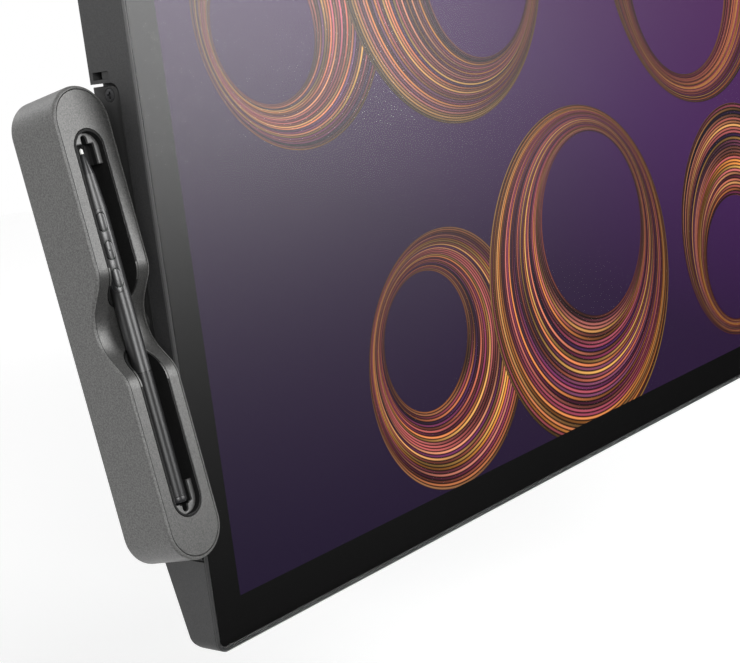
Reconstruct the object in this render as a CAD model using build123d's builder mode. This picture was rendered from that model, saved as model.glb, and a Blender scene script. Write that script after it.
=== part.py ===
# Graphics tablet with screen: a pen display with a tilting pen tray on its left side.
# Millimetres. X runs along the width, +Z is up, and the screen faces -Y.
# The origin is the middle of the bolt pattern on the flat back, which lies on the plane y = 0.
# Heights in the display are counted forward from that back plane, as on Plane.XZ.offset(height).
from build123d import *
from collections import Counter
from math import cos, radians, sin, tan
import os

os.makedirs("parts", exist_ok=True)

# Overrun of every cut past the face that it opens
overrun = 1.0

# Display outline
display_width = 634.0
display_height = 379.0
display_depth = 27.5
outline_corner_radius = 6.0
housing_wall = 2.0
taper_height = 44.0
taper_set_forward = 11.4
rear_edge_radius = 9.0

# Front trim, glass and screen stack, from the front backwards
trim_width = 1.1
trim_height = 1.3
trim_chamfer = 0.7
seam_chamfer = 0.25
glass_gap = 0.15
glass_thickness = 1.1
glass_chamfer = 0.2
print_thickness = 0.12
print_inset = 1.2
border_side = 18.7
border_end = 21.7
gasket_thickness = 0.3
gasket_width = 5.0
panel_margin = 3.0
panel_thickness = 1.38
film_margin = 2.0
film_thickness = 0.8
guide_margin = 1.0
guide_thickness = 2.4
led_bar_width = 1.6
led_bar_gap = 0.2
pan_wall = 0.8
pan_clearance = 0.5
sensor_thickness = 0.7
sensor_margin = 4.0
chassis_thickness = 1.2
chassis_side_margin = 10.0
chassis_end_margin = 5.5
inner_frame_gap = 0.15
inner_frame_clearance = 1.0

# Heights above the back plane
glass_front = display_depth
glass_back = glass_front - glass_thickness
print_back = glass_back - print_thickness
panel_back = print_back - panel_thickness
film_back = panel_back - film_thickness
guide_back = film_back - guide_thickness
pan_back = guide_back - pan_wall
sensor_back = pan_back - sensor_thickness
chassis_back = sensor_back - chassis_thickness
housing_front = display_depth - trim_height

# Sizes across
active_width = display_width - 2 * border_side
active_height = display_height - 2 * border_end
glass_width = display_width - 2 * (trim_width + glass_gap)
glass_height = display_height - 2 * (trim_width + glass_gap)
glass_corner_radius = outline_corner_radius - trim_width - glass_gap
panel_width = active_width + 2 * panel_margin
panel_height = active_height + 2 * panel_margin
pan_width = panel_width + 2 * (pan_wall + pan_clearance)
pan_height = panel_height + 2 * (pan_wall + pan_clearance)
sensor_width = active_width + 2 * sensor_margin
sensor_height = active_height + 2 * sensor_margin
chassis_width = display_width - 2 * chassis_side_margin
chassis_height = display_height - 2 * chassis_end_margin
inner_frame_width = display_width - 2 * (housing_wall + inner_frame_gap)
inner_frame_height = display_height - 2 * (housing_wall + inner_frame_gap)
inner_corner_radius = outline_corner_radius - housing_wall

# Screws that hold frame and chassis to the housing
frame_screw_end = 47.0
frame_screw_column_shares = (-1.5, -0.5, 0.5, 1.5)
frame_screw_radius = 1.5
frame_screw_head_radius = 2.8
frame_screw_head_height = 2.0
frame_screw_length = 13.0
frame_screw_edge = 10.5
frame_screw_sink = 0.3
screw_fit = 0.02
screw_hole_clearance = 0.2
boss_radius = 3.6
recess_share = 0.55

# Side pockets: the left one takes the tray's bracket, the right one a blank cover
pocket_bottom_height = 43.5
pocket_length = 211.2
pocket_reach = 17.0
pocket_depth = 7.0
pocket_wall = 1.8
pocket_corner_radius = 5.0
foot_height = 28.0
foot_depth = 1.2
foot_gap = 1.0
bracket_gap = 1.2
bracket_recess = 1.0
bracket_edge_chamfer = 0.4
side_screw_top_inset = 5.2
side_screw_bottom_inset = 10.0
side_screw_shares = (0.0, 0.276, 0.724, 1.0)
side_screw_reach = 9.9
side_screw_radius = 1.5
side_screw_head_radius = 2.8
side_screw_head_height = 1.4
side_screw_length = 7.6
cover_gap = 0.3

# Lock slot in the left side, above the pocket
slot_rise = 3.25
slot_reach = 7.05
slot_length = 9.7
slot_width = 3.3
slot_shallow = 1.5
slot_deep = 5.2
slot_deep_length = 4.9
slot_block_wall = 1.4
slot_tab_gap = 0.1
slot_tab_thickness = 0.8

# Bolt pattern on the back
bolt_spacing_length = 100.0
bolt_hole_radius = 2.0
bush_radius = 4.0
bush_flange_radius = 6.0
bush_flange_height = 1.5
bush_fit = 0.02
bolt_plate_size = 126.0
bolt_plate_thickness = 1.5
bolt_plate_corner = 6.0

# Vents through the back
vent_columns = 14
vent_spacing_length = 7.0
vent_length = 20.0
vent_width = 2.2
vent_spread = 250.0
vent_edge = 37.5

# Socket bay in the back and its board
bay_centre = 110.0
bay_width = 92.0
bay_edge = 51.5
bay_height = 26.0
bay_depth = 14.0
bay_wall = 1.6
bay_corner_radius = 2.5
socket_reach = 7.2
socket_body_length = 9.0
socket_wall = 0.4
socket_gap = 0.1
usb_width = 9.0
usb_height = 3.3
usb_spread = 20.0
usb_centre = 24.0
usb_tongue_width = 6.6
usb_tongue_height = 0.8
video_width = 14.6
video_height = 5.2
video_centre = -8.0
video_tongue_width = 11.0
video_tongue_height = 1.6
power_outer_radius = 4.2
power_bore_radius = 3.0
power_pin_radius = 0.9
power_centre = -34.0
tongue_inset = 1.2
port_board_width = 88.0
port_board_height = 22.0
board_thickness = 1.6
post_radius = 2.6
port_post_spread = 78.0
port_post_drop = 5.0

# Boards on the back of the chassis
spacer_height = 4.0
spacer_radius = 2.6
main_board_width = 172.0
main_board_height = 96.0
main_board_lift = 22.0
board_screw_inset = 6.0
board_screw_radius = 1.25
board_screw_head_radius = 2.4
board_screw_head_height = 1.5
board_screw_length = 5.4
driver_board_width = 320.0
driver_board_height = 24.0
driver_board_edge = 33.5
chip_height = 1.8
chip_size = 26.0
chip_small_size = 13.0
chip_small_spread = 40.0
pad_thickness = 0.5
spreader_width = 120.0
spreader_height = 64.0
spreader_thickness = 1.6
connector_width = 42.0
connector_depth = 4.5
connector_height = 2.6

# Power button in the top edge, over its switch
button_edge = 110.0
button_reach = 12.0
button_length = 14.0
button_width = 4.6
button_proud = 0.8
button_gap = 0.1
button_travel = 0.6
button_stem_length = 3.6
button_flange = 1.0
button_flange_height = 1.0
button_flange_gap = 0.05
switch_size = 6.0
switch_height = 3.4
switch_plunger_radius = 1.6
switch_plunger_height = 0.6
switch_gap = 0.1
switch_board_length = 34.0
switch_board_width = 11.0
switch_post_spread = 26.0

# Tray: where it hangs and how it leans
tray_tilt = 10.2
pivot_reach = 7.0
pivot_rise = 150.94
tray_side_gap = 2.25
tray_width = 30.2
tray_past_opening = 18.5
tray_depth = 30.1
pivot_to_front = 20.5
tray_edge_radius = 1.4
tray_rear_radius = 2.0
tray_wall = 2.4
face_seam = 0.25
face_thickness = 2.2
face_edge_radius = 0.3
saddle_slope = 37.0
saddle_half_mouth = 21.5
saddle_floor_radius = 20.0
saddle_shoulder_radius = 12.0
saddle_bridge_length = 17.6
saddle_groove_gap = 0.4
opening_width = 16.4
opening_past_pen = 6.8
liner_gap = 0.2
liner_wall = 0.9
liner_flange = 1.8
liner_flange_thickness = 1.0
liner_depth = 13.6
liner_floor = 1.2

# Cradles at both ends of the recess
cradle_drop = 2.5
cradle_gap = 0.1
cradle_thickness = 1.2
cradle_edge_radius = 0.4
cradle_block_inset = 0.2
cradle_arm_length = 15.0
notch_width = 9.3
notch_inset = 6.0
notch_corner_radius = 0.8
key_slot_width = 3.3
key_slot_inset = 2.4
key_slot_depth = 4.0
seat_clearance = 0.06

# Tray back, its screws and the spare nibs
tray_back_thickness = 2.0
tray_back_gap = 0.15
tray_back_recess = 0.3
back_ledge_width = 0.9
back_ledge_height = 1.0
back_screw_places = (-66.0, -40.0, 40.0, 66.0)
back_screw_radius = 1.0
back_screw_head_radius = 2.0
back_screw_head_height = 0.9
back_screw_length = 7.0
back_post_radius = 2.6
rack_centre = -20.0
rack_width = 18.0
rack_length = 18.0
rack_height = 5.0
spare_nib_count = 5
spare_nib_spacing_length = 3.3
spare_nib_radius = 0.9
spare_nib_fit = 0.02
spare_nib_length = 13.0
spare_nib_proud = 2.0

# Hinge between bracket and tray
hub_radius = 6.4
hub_gap = 0.1
pin_radius = 2.5
pin_fit = 0.02
pin_running_gap = 0.05
pin_inset = 1.0
hinge_plate_thickness = 1.5
hinge_plate_length = 34.0
hinge_plate_top = 5.0
hinge_plate_bottom = -6.1
washer_radius = 4.8
washer_thickness = 0.8
nut_radius = 4.0
nut_thickness = 2.4
pin_tail = 0.6
nut_sides = 6

# Pen
pen_radius = 4.0
pen_axis_drop = 6.2
pen_length = 154.4
pen_off_centre = 0.4
pen_roll = 33.0
pen_wall = 0.9
nib_radius = 0.75
nib_tip_radius = 0.5
nib_show = 2.4
nib_length = 20.0
nib_running_gap = 0.05
nose_tip_radius = 1.05
nose_base_radius = 3.0
nose_end = 11.2
nose_spigot_length = 1.2
grip_start = 26.0
plate_start = 26.3
plate_end = 62.2
plate_width = 6.0
plate_seat = 2.3
plate_gap = 0.08
button_starts = (27.8, 40.0, 51.9)
pen_button_length = 8.2
pen_button_width = 3.7
pen_button_proud = 0.35
pen_button_base = 1.9
pen_button_gap = 0.08
ring_place = 97.0
ring_width = 0.5
ring_step = 0.15
plug_length = 3.0
plug_chamfer = 0.7
spigot_length = 4.0
spigot_wall = 0.7
spigot_fit = 0.02
coil_start = 12.5
coil_length = 12.0
coil_radius = 2.1
coil_bore_radius = 1.15
pen_board_start = 28.6
pen_board_end = 92.0
pen_board_width = 5.0
pen_board_thickness = 0.9
pen_switch_size = 3.0
pen_switch_top = 1.45


def screw(radius, head_radius, head_height, length):
    """A screw along Z with its head's top at zero and a cross recess in it."""
    recess_length = 2 * head_radius * recess_share
    with BuildPart() as made:
        with BuildSketch():
            Circle(head_radius)
        extrude(amount=-head_height)
        with BuildSketch(Plane.XY.offset(-head_height)):
            Circle(radius)
        extrude(amount=-length)
        with BuildSketch():
            Rectangle(recess_length, recess_length * recess_share / 2)
            Rectangle(recess_length * recess_share / 2, recess_length)
        extrude(amount=-head_height * recess_share, mode=Mode.SUBTRACT)
    return made.part


def housing_block(inset):
    """The housing's outer form, drawn in by inset on every side but the front."""
    reach = display_depth + overrun
    with BuildPart() as block:
        with BuildSketch(Plane.YZ.offset(inset - display_width / 2)) as profile:
            with BuildLine():
                Polyline(
                    (-reach, -display_height / 2),
                    (-taper_set_forward, -display_height / 2),
                    (0, taper_height - display_height / 2),
                    (0, display_height / 2),
                    (-reach, display_height / 2),
                    close=True,
                )
            make_face()
            rear = profile.vertices().filter_by_position(Axis.X, -taper_set_forward, 0)
            fillet([rear.sort_by(Axis.Y)[0], rear.sort_by(Axis.Y)[-1]], radius=rear_edge_radius)
            if inset:
                offset(amount=-inset)
        extrude(amount=display_width - 2 * inset)
        with BuildSketch(Plane.XZ):
            RectangleRounded(
                display_width - 2 * inset,
                display_height - 2 * inset,
                outline_corner_radius - inset,
            )
        extrude(amount=housing_front + (overrun if inset else 0), mode=Mode.INTERSECT)
    return block.part


def pocket_block(side, grow):
    """The space of a side pocket, with grow added on the sides that have a wall."""
    high = pocket_high + grow
    low = pocket_low - grow
    depth = pocket_depth + grow
    start = side * (display_width / 2 + overrun)
    with BuildPart() as block:
        with BuildSketch(Plane.YZ.offset(start)) as outline:
            with BuildLine():
                Polyline(
                    (overrun, low),
                    (-pocket_reach - grow, low),
                    (-pocket_reach - grow, high),
                    (overrun, high),
                    close=True,
                )
            make_face()
            front = outline.vertices().sort_by(Axis.X)[:2]
            fillet(front, radius=pocket_corner_radius + grow)
        extrude(amount=-side * (depth + overrun))
    return block.part



# Heights of what is placed from the display's top and bottom edges
bottom = -display_height / 2
pocket_low = bottom + pocket_bottom_height
pocket_high = pocket_low + pocket_length
slot_height = pocket_high + slot_rise
side_screw_span = pocket_length - side_screw_top_inset - side_screw_bottom_inset
side_screw_heights = [
    pocket_high - side_screw_top_inset - share * side_screw_span for share in side_screw_shares
]
bay_low = bottom + bay_edge
bay_high = bay_low + bay_height
driver_board_drop = display_height / 2 - driver_board_edge
button_x = display_width / 2 - button_edge
pivot_height = bottom + pivot_rise

# Lengths that follow the pen
opening_length = pen_length + 2 * opening_past_pen
well_length = (opening_length - saddle_bridge_length) / 2
well_place = (saddle_bridge_length + well_length) / 2
tray_length = opening_length + 2 * tray_past_opening
cradle_arm_end = opening_length / 2 - cradle_arm_length
notch_end = opening_length / 2 - notch_inset
key_slot_end = opening_length / 2 - key_slot_inset
pen_tip_place = pen_length / 2 - pen_off_centre

frame_screw_spacing_length = (display_width / 2 - frame_screw_end) / max(frame_screw_column_shares)
frame_screw_places = [
    (share * frame_screw_spacing_length, side * (display_height / 2 - frame_screw_edge))
    for share in frame_screw_column_shares
    for side in (-1, 1)
]
port_board_front = socket_reach + power_outer_radius + board_thickness
port_board_centre = bay_high + bay_wall + port_board_height / 2
port_post_height = port_board_centre + port_board_height / 2 - port_post_drop
switch_board_top = (
    display_height / 2 - housing_wall - button_stem_length - button_travel
    - switch_gap - switch_plunger_height - switch_height
)

# Hollow of the housing: its inner form less the bosses, posts, pockets and bay that stay solid
left_pocket_wall = pocket_block(-1, pocket_wall)
right_pocket_wall = pocket_block(1, pocket_wall)
housing_inner = housing_block(housing_wall)
with BuildPart() as hollow:
    add(housing_inner)
    add(left_pocket_wall, mode=Mode.SUBTRACT)
    add(right_pocket_wall, mode=Mode.SUBTRACT)
    with BuildSketch(Plane.XZ):
        with Locations(frame_screw_places):
            Circle(boss_radius)
    extrude(amount=chassis_back, mode=Mode.SUBTRACT)
    with BuildSketch(Plane.XZ):
        with Locations((bay_centre, (bay_low + bay_high) / 2)):
            Rectangle(bay_width + 2 * bay_wall, bay_high - bay_low + 2 * bay_wall)
    extrude(amount=bay_depth + bay_wall, mode=Mode.SUBTRACT)
    with BuildSketch(Plane.XZ):
        with Locations((bay_centre, port_post_height)):
            with GridLocations(port_post_spread, 0, 2, 1):
                Circle(post_radius)
    extrude(amount=port_board_front - board_thickness, mode=Mode.SUBTRACT)
    with BuildSketch(Plane.XY.offset(switch_board_top)):
        with Locations((button_x, -button_reach)):
            with GridLocations(switch_post_spread, 0, 2, 1):
                Circle(post_radius)
    extrude(amount=display_height / 2 - switch_board_top, mode=Mode.SUBTRACT)
    with BuildSketch(Plane.YZ.offset(-display_width / 2)):
        with Locations((-slot_reach, slot_height)):
            Rectangle(slot_length + 2 * slot_block_wall, slot_width + 2 * slot_block_wall)
    extrude(amount=slot_deep + slot_block_wall, mode=Mode.SUBTRACT)

# Rear housing: one shell with side walls, flat back, tapered lower edge and side pockets
housing_outer = housing_block(0)
left_pocket = pocket_block(-1, 0)
right_pocket = pocket_block(1, 0)
with BuildPart() as rear_housing:
    add(housing_outer)
    chamfer(
        rear_housing.faces().sort_by(Axis.Y)[0].outer_wire().edges(), length=seam_chamfer
    )
    add(hollow.part, mode=Mode.SUBTRACT)
    add(left_pocket, mode=Mode.SUBTRACT)
    add(right_pocket, mode=Mode.SUBTRACT)
    # Shallow step for the bracket's foot, open to the trim's seam
    with BuildSketch(Plane.YZ.offset(-display_width / 2)):
        with Locations((0, pocket_low)):
            Rectangle(
                housing_front + overrun, foot_height, align=(Align.MAX, Align.MIN)
            )
    extrude(amount=foot_depth, mode=Mode.SUBTRACT)
    # Lock slot, deeper over its rear part
    with BuildSketch(Plane.YZ.offset(-display_width / 2)):
        with Locations((-slot_reach, slot_height)):
            Rectangle(slot_length, slot_width)
    extrude(amount=slot_shallow, mode=Mode.SUBTRACT)
    with BuildSketch(Plane.YZ.offset(-display_width / 2)):
        with Locations((-slot_reach + (slot_length - slot_deep_length) / 2, slot_height)):
            Rectangle(slot_deep_length, slot_width)
    extrude(amount=slot_deep, mode=Mode.SUBTRACT)
    # Threaded holes for the side screws of both pockets
    with BuildSketch(Plane.YZ.offset(pocket_depth - display_width / 2)):
        with Locations([(-side_screw_reach, height) for height in side_screw_heights]):
            Circle(side_screw_radius + screw_fit)
    extrude(amount=pocket_wall + overrun, mode=Mode.SUBTRACT)
    with BuildSketch(Plane.YZ.offset(display_width / 2 - pocket_depth)):
        with Locations([(-side_screw_reach, height) for height in side_screw_heights]):
            Circle(side_screw_radius + screw_fit)
    extrude(amount=-pocket_wall - overrun, mode=Mode.SUBTRACT)
    # Blind threaded holes in the bosses and posts
    with BuildSketch(Plane.XZ.offset(chassis_back)):
        with Locations(frame_screw_places):
            Circle(frame_screw_radius + screw_fit)
    extrude(
        amount=-(frame_screw_length - (print_back - gasket_thickness - chassis_back)
                 + frame_screw_sink + frame_screw_head_height),
        mode=Mode.SUBTRACT,
    )
    # Bores of the bolt bushes
    with BuildSketch(Plane.XZ):
        with GridLocations(bolt_spacing_length, bolt_spacing_length, 2, 2):
            Circle(bush_radius + bush_fit)
    extrude(amount=housing_wall, mode=Mode.SUBTRACT)
    # Vents, in two fields
    with BuildSketch(Plane.XZ):
        with Locations((0, display_height / 2 - vent_edge)):
            with GridLocations(vent_spread, 0, 2, 1):
                with GridLocations(vent_spacing_length, 0, vent_columns, 1):
                    SlotOverall(vent_length, vent_width, rotation=90)
    extrude(amount=housing_wall, mode=Mode.SUBTRACT)
    # Socket bay and the socket holes in its ceiling
    with BuildSketch(Plane.XZ):
        with Locations((bay_centre, (bay_low + bay_high) / 2)):
            RectangleRounded(bay_width, bay_high - bay_low, bay_corner_radius)
    extrude(amount=bay_depth, mode=Mode.SUBTRACT)
    with BuildSketch(Plane.XY.offset(bay_high)):
        with Locations((bay_centre + usb_centre, -socket_reach)):
            with GridLocations(usb_spread, 0, 2, 1):
                Rectangle(
                    usb_width + 2 * (socket_wall + socket_gap),
                    usb_height + 2 * (socket_wall + socket_gap),
                )
        with Locations((bay_centre + video_centre, -socket_reach)):
            Rectangle(
                video_width + 2 * (socket_wall + socket_gap),
                video_height + 2 * (socket_wall + socket_gap),
            )
        with Locations((bay_centre + power_centre, -socket_reach)):
            Circle(power_outer_radius + socket_gap)
    extrude(amount=bay_wall, mode=Mode.SUBTRACT)
    # Hole of the power button
    with BuildSketch(Plane.XY.offset(display_height / 2)):
        with Locations((button_x, -button_reach)):
            SlotOverall(button_length + 2 * button_gap, button_width + 2 * button_gap)
    extrude(amount=-housing_wall, mode=Mode.SUBTRACT)
rear_housing.part.label = "rear_housing"
export_step(rear_housing.part, "parts/rear_housing.step")

# Front trim: a narrow bevelled ring round the glass
with BuildPart() as front_trim:
    with BuildSketch(Plane.XZ.offset(housing_front)):
        RectangleRounded(display_width, display_height, outline_corner_radius)
    extrude(amount=trim_height)
    chamfer(front_trim.faces().sort_by(Axis.Y)[0].edges(), length=trim_chamfer)
    chamfer(front_trim.faces().sort_by(Axis.Y)[-1].edges(), length=seam_chamfer)
    with BuildSketch(Plane.XZ.offset(housing_front)):
        RectangleRounded(
            display_width - 2 * trim_width,
            display_height - 2 * trim_width,
            outline_corner_radius - trim_width,
        )
    extrude(amount=trim_height, mode=Mode.SUBTRACT)
front_trim.part.label = "front_trim"
export_step(front_trim.part, "parts/front_trim.step")

# Cover glass
with BuildPart() as cover_glass:
    with BuildSketch(Plane.XZ.offset(glass_back)):
        RectangleRounded(glass_width, glass_height, glass_corner_radius)
    extrude(amount=glass_thickness)
    chamfer(cover_glass.faces().sort_by(Axis.Y)[0].edges(), length=glass_chamfer)
cover_glass.part.label = "cover_glass"
export_step(cover_glass.part, "parts/cover_glass.step")

# Black print on the back of the glass, with a window the size of the picture
with BuildPart() as border_print:
    with BuildSketch(Plane.XZ.offset(print_back)):
        RectangleRounded(
            glass_width - 2 * print_inset,
            glass_height - 2 * print_inset,
            glass_corner_radius - print_inset,
        )
        Rectangle(active_width, active_height, mode=Mode.SUBTRACT)
    extrude(amount=print_thickness)
border_print.part.label = "border_print"
export_step(border_print.part, "parts/border_print.step")

# Inner frame that carries the glass, standing on the chassis
inner_frame_front = print_back - gasket_thickness
with BuildPart() as inner_frame:
    with BuildSketch(Plane.XZ.offset(sensor_back)):
        RectangleRounded(inner_frame_width, inner_frame_height, inner_corner_radius)
        Rectangle(
            pan_width + 2 * inner_frame_clearance,
            pan_height + 2 * inner_frame_clearance,
            mode=Mode.SUBTRACT,
        )
    extrude(amount=inner_frame_front - sensor_back)
    with BuildSketch(Plane.XZ.offset(inner_frame_front)):
        with Locations(frame_screw_places):
            Circle(frame_screw_head_radius + screw_hole_clearance)
    extrude(amount=-(frame_screw_sink + frame_screw_head_height), mode=Mode.SUBTRACT)
    with BuildSketch(Plane.XZ.offset(sensor_back)):
        with Locations(frame_screw_places):
            Circle(frame_screw_radius + screw_hole_clearance)
    extrude(amount=inner_frame_front - sensor_back, mode=Mode.SUBTRACT)
inner_frame.part.label = "inner_frame"
export_step(inner_frame.part, "parts/inner_frame.step")

# Foam gasket between inner frame and glass
gasket_outer_width = glass_width - 2 * print_inset
gasket_outer_height = glass_height - 2 * print_inset
with BuildPart() as glass_gasket:
    with BuildSketch(Plane.XZ.offset(inner_frame_front)):
        RectangleRounded(
            gasket_outer_width, gasket_outer_height, glass_corner_radius - print_inset
        )
        Rectangle(
            gasket_outer_width - 2 * gasket_width,
            gasket_outer_height - 2 * gasket_width,
            mode=Mode.SUBTRACT,
        )
    extrude(amount=gasket_thickness)
glass_gasket.part.label = "glass_gasket"
export_step(glass_gasket.part, "parts/glass_gasket.step")

# Liquid crystal panel
with BuildPart() as screen_panel:
    with BuildSketch(Plane.XZ.offset(panel_back)):
        Rectangle(panel_width, panel_height)
    extrude(amount=panel_thickness)
screen_panel.part.label = "screen_panel"
export_step(screen_panel.part, "parts/screen_panel.step")

# Diffuser films
with BuildPart() as film_stack:
    with BuildSketch(Plane.XZ.offset(film_back)):
        Rectangle(active_width + 2 * film_margin, active_height + 2 * film_margin)
    extrude(amount=film_thickness)
film_stack.part.label = "film_stack"
export_step(film_stack.part, "parts/film_stack.step")

# Light guide
guide_height = active_height + 2 * guide_margin
with BuildPart() as light_guide:
    with BuildSketch(Plane.XZ.offset(guide_back)):
        Rectangle(active_width + 2 * guide_margin, guide_height)
    extrude(amount=guide_thickness)
light_guide.part.label = "light_guide"
export_step(light_guide.part, "parts/light_guide.step")

# Lamp bar along the lower edge of the light guide
with BuildPart() as lamp_bar:
    with BuildSketch(Plane.XZ.offset(guide_back)):
        with Locations((0, -guide_height / 2 - led_bar_gap - led_bar_width / 2)):
            Rectangle(active_width, led_bar_width)
    extrude(amount=guide_thickness)
lamp_bar.part.label = "lamp_bar"
export_step(lamp_bar.part, "parts/lamp_bar.step")

# Backlight pan that holds light guide, films and lamp bar
with BuildPart() as backlight_pan:
    with BuildSketch(Plane.XZ.offset(pan_back)):
        Rectangle(pan_width, pan_height)
    extrude(amount=panel_back - pan_back)
    with BuildSketch(Plane.XZ.offset(guide_back)):
        Rectangle(pan_width - 2 * pan_wall, pan_height - 2 * pan_wall)
    extrude(amount=panel_back - guide_back, mode=Mode.SUBTRACT)
    with BuildSketch(Plane.XZ.offset(panel_back)):
        Rectangle(pan_width, pan_height)
        Rectangle(pan_width - 2 * pan_wall, pan_height - 2 * pan_wall, mode=Mode.SUBTRACT)
    extrude(amount=panel_thickness / 2)
backlight_pan.part.label = "backlight_pan"
export_step(backlight_pan.part, "parts/backlight_pan.step")

# Pen sensor board behind the backlight
with BuildPart() as sensor_board:
    with BuildSketch(Plane.XZ.offset(sensor_back)):
        Rectangle(sensor_width, sensor_height)
    extrude(amount=sensor_thickness)
sensor_board.part.label = "sensor_board"
export_step(sensor_board.part, "parts/sensor_board.step")

# Chassis plate
main_board_screws = [
    (
        across * (main_board_width / 2 - board_screw_inset),
        main_board_lift + up * (main_board_height / 2 - board_screw_inset),
    )
    for across in (-1, 1)
    for up in (-1, 1)
]
driver_board_screws = [
    (across * (driver_board_width / 2 - board_screw_inset), -driver_board_drop)
    for across in (-1, 1)
]
with BuildPart() as chassis_plate:
    with BuildSketch(Plane.XZ.offset(chassis_back)):
        Rectangle(chassis_width, chassis_height)
        with Locations(frame_screw_places):
            Circle(frame_screw_radius + screw_hole_clearance, mode=Mode.SUBTRACT)
    extrude(amount=chassis_thickness)
chassis_plate.part.label = "chassis_plate"
export_step(chassis_plate.part, "parts/chassis_plate.step")

# Long screws through inner frame and chassis into the housing's bosses
frame_screw = screw(
    frame_screw_radius, frame_screw_head_radius, frame_screw_head_height, frame_screw_length
)
with BuildPart() as frame_screws:
    with Locations(Plane.XZ.offset(inner_frame_front - frame_screw_sink)):
        with Locations(frame_screw_places):
            add(frame_screw)
frame_screws.part.label = "frame_screws"
export_step(frame_screws.part, "parts/frame_screws.step")

# Spacers that stand the boards off the chassis
board_front = chassis_back - spacer_height
with BuildPart() as board_spacers:
    with BuildSketch(Plane.XZ.offset(board_front)):
        with Locations(main_board_screws + driver_board_screws):
            Circle(spacer_radius)
            Circle(board_screw_radius + screw_fit, mode=Mode.SUBTRACT)
    extrude(amount=spacer_height)
board_spacers.part.label = "board_spacers"
export_step(board_spacers.part, "parts/board_spacers.step")

# Main board
board_back = board_front - board_thickness
with BuildPart() as main_board:
    with BuildSketch(Plane.XZ.offset(board_back)):
        with Locations((0, main_board_lift)):
            Rectangle(main_board_width, main_board_height)
        with Locations(main_board_screws):
            Circle(board_screw_radius + screw_hole_clearance, mode=Mode.SUBTRACT)
    extrude(amount=board_thickness)
main_board.part.label = "main_board"
export_step(main_board.part, "parts/main_board.step")

# Chips and connectors on the main board
with BuildPart() as board_chips:
    with BuildSketch(Plane.XZ.offset(board_back)):
        with Locations((0, main_board_lift)):
            Rectangle(chip_size, chip_size)
            with GridLocations(chip_small_spread * 2, 0, 2, 1):
                Rectangle(chip_small_size, chip_small_size)
    extrude(amount=-chip_height)
    with BuildSketch(Plane.XZ.offset(board_back)):
        connector_drop = main_board_height / 2 - connector_depth
        with Locations((0, main_board_lift - connector_drop)):
            with GridLocations(connector_width + connector_depth * 2, 0, 2, 1):
                Rectangle(connector_width, connector_depth)
    extrude(amount=-connector_height)
board_chips.part.label = "board_chips"
export_step(board_chips.part, "parts/board_chips.step")

# Driver board of the panel, along the bottom
with BuildPart() as driver_board:
    with BuildSketch(Plane.XZ.offset(board_back)):
        with Locations((0, -driver_board_drop)):
            Rectangle(driver_board_width, driver_board_height)
        with Locations(driver_board_screws):
            Circle(board_screw_radius + screw_hole_clearance, mode=Mode.SUBTRACT)
    extrude(amount=board_thickness)
driver_board.part.label = "driver_board"
export_step(driver_board.part, "parts/driver_board.step")

# Screws of both boards, with their heads towards the back
board_screw = screw(
    board_screw_radius, board_screw_head_radius, board_screw_head_height, board_screw_length
)
board_screw_plane = Plane(
    origin=(0, board_screw_head_height - board_back, 0), x_dir=(-1, 0, 0), z_dir=(0, 1, 0)
)
with BuildPart() as board_screws:
    with Locations(board_screw_plane):
        with Locations(main_board_screws + driver_board_screws):
            add(board_screw)
board_screws.part.label = "board_screws"
export_step(board_screws.part, "parts/board_screws.step")

# Thermal pad and heat spreader over the chips
pad_back = board_back - chip_height - pad_thickness
with BuildPart() as thermal_pad:
    with BuildSketch(Plane.XZ.offset(pad_back)):
        with Locations((0, main_board_lift)):
            Rectangle(chip_size, chip_size)
    extrude(amount=pad_thickness)
thermal_pad.part.label = "thermal_pad"
export_step(thermal_pad.part, "parts/thermal_pad.step")

with BuildPart() as heat_spreader:
    with BuildSketch(Plane.XZ.offset(pad_back)):
        with Locations((0, main_board_lift)):
            Rectangle(spreader_width, spreader_height)
    extrude(amount=-spreader_thickness)
heat_spreader.part.label = "heat_spreader"
export_step(heat_spreader.part, "parts/heat_spreader.step")

# Steel plate behind the bolt pattern
with BuildPart() as bolt_plate:
    with BuildSketch(Plane.XZ.offset(housing_wall)):
        RectangleRounded(bolt_plate_size, bolt_plate_size, bolt_plate_corner)
        with GridLocations(bolt_spacing_length, bolt_spacing_length, 2, 2):
            Circle(bush_radius + bush_fit, mode=Mode.SUBTRACT)
    extrude(amount=bolt_plate_thickness)
bolt_plate.part.label = "bolt_plate"
export_step(bolt_plate.part, "parts/bolt_plate.step")

# Threaded bushes, flush with the back
with BuildPart() as bolt_bushes:
    with BuildSketch(Plane.XZ):
        with GridLocations(bolt_spacing_length, bolt_spacing_length, 2, 2):
            Circle(bush_radius)
    extrude(amount=housing_wall + bolt_plate_thickness)
    with BuildSketch(Plane.XZ.offset(housing_wall + bolt_plate_thickness)):
        with GridLocations(bolt_spacing_length, bolt_spacing_length, 2, 2):
            Circle(bush_flange_radius)
    extrude(amount=bush_flange_height)
    with BuildSketch(Plane.XZ):
        with GridLocations(bolt_spacing_length, bolt_spacing_length, 2, 2):
            Circle(bolt_hole_radius)
    extrude(
        amount=housing_wall + bolt_plate_thickness + bush_flange_height, mode=Mode.SUBTRACT
    )
bolt_bushes.part.label = "bolt_bushes"
export_step(bolt_bushes.part, "parts/bolt_bushes.step")

# Socket board on its posts, in front of the sockets
with BuildPart() as port_board:
    with BuildSketch(Plane.XZ.offset(port_board_front - board_thickness)):
        with Locations((bay_centre, port_board_centre)):
            Rectangle(port_board_width, port_board_height)
    extrude(amount=board_thickness)
port_board.part.label = "port_board"
export_step(port_board.part, "parts/port_board.step")


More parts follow.
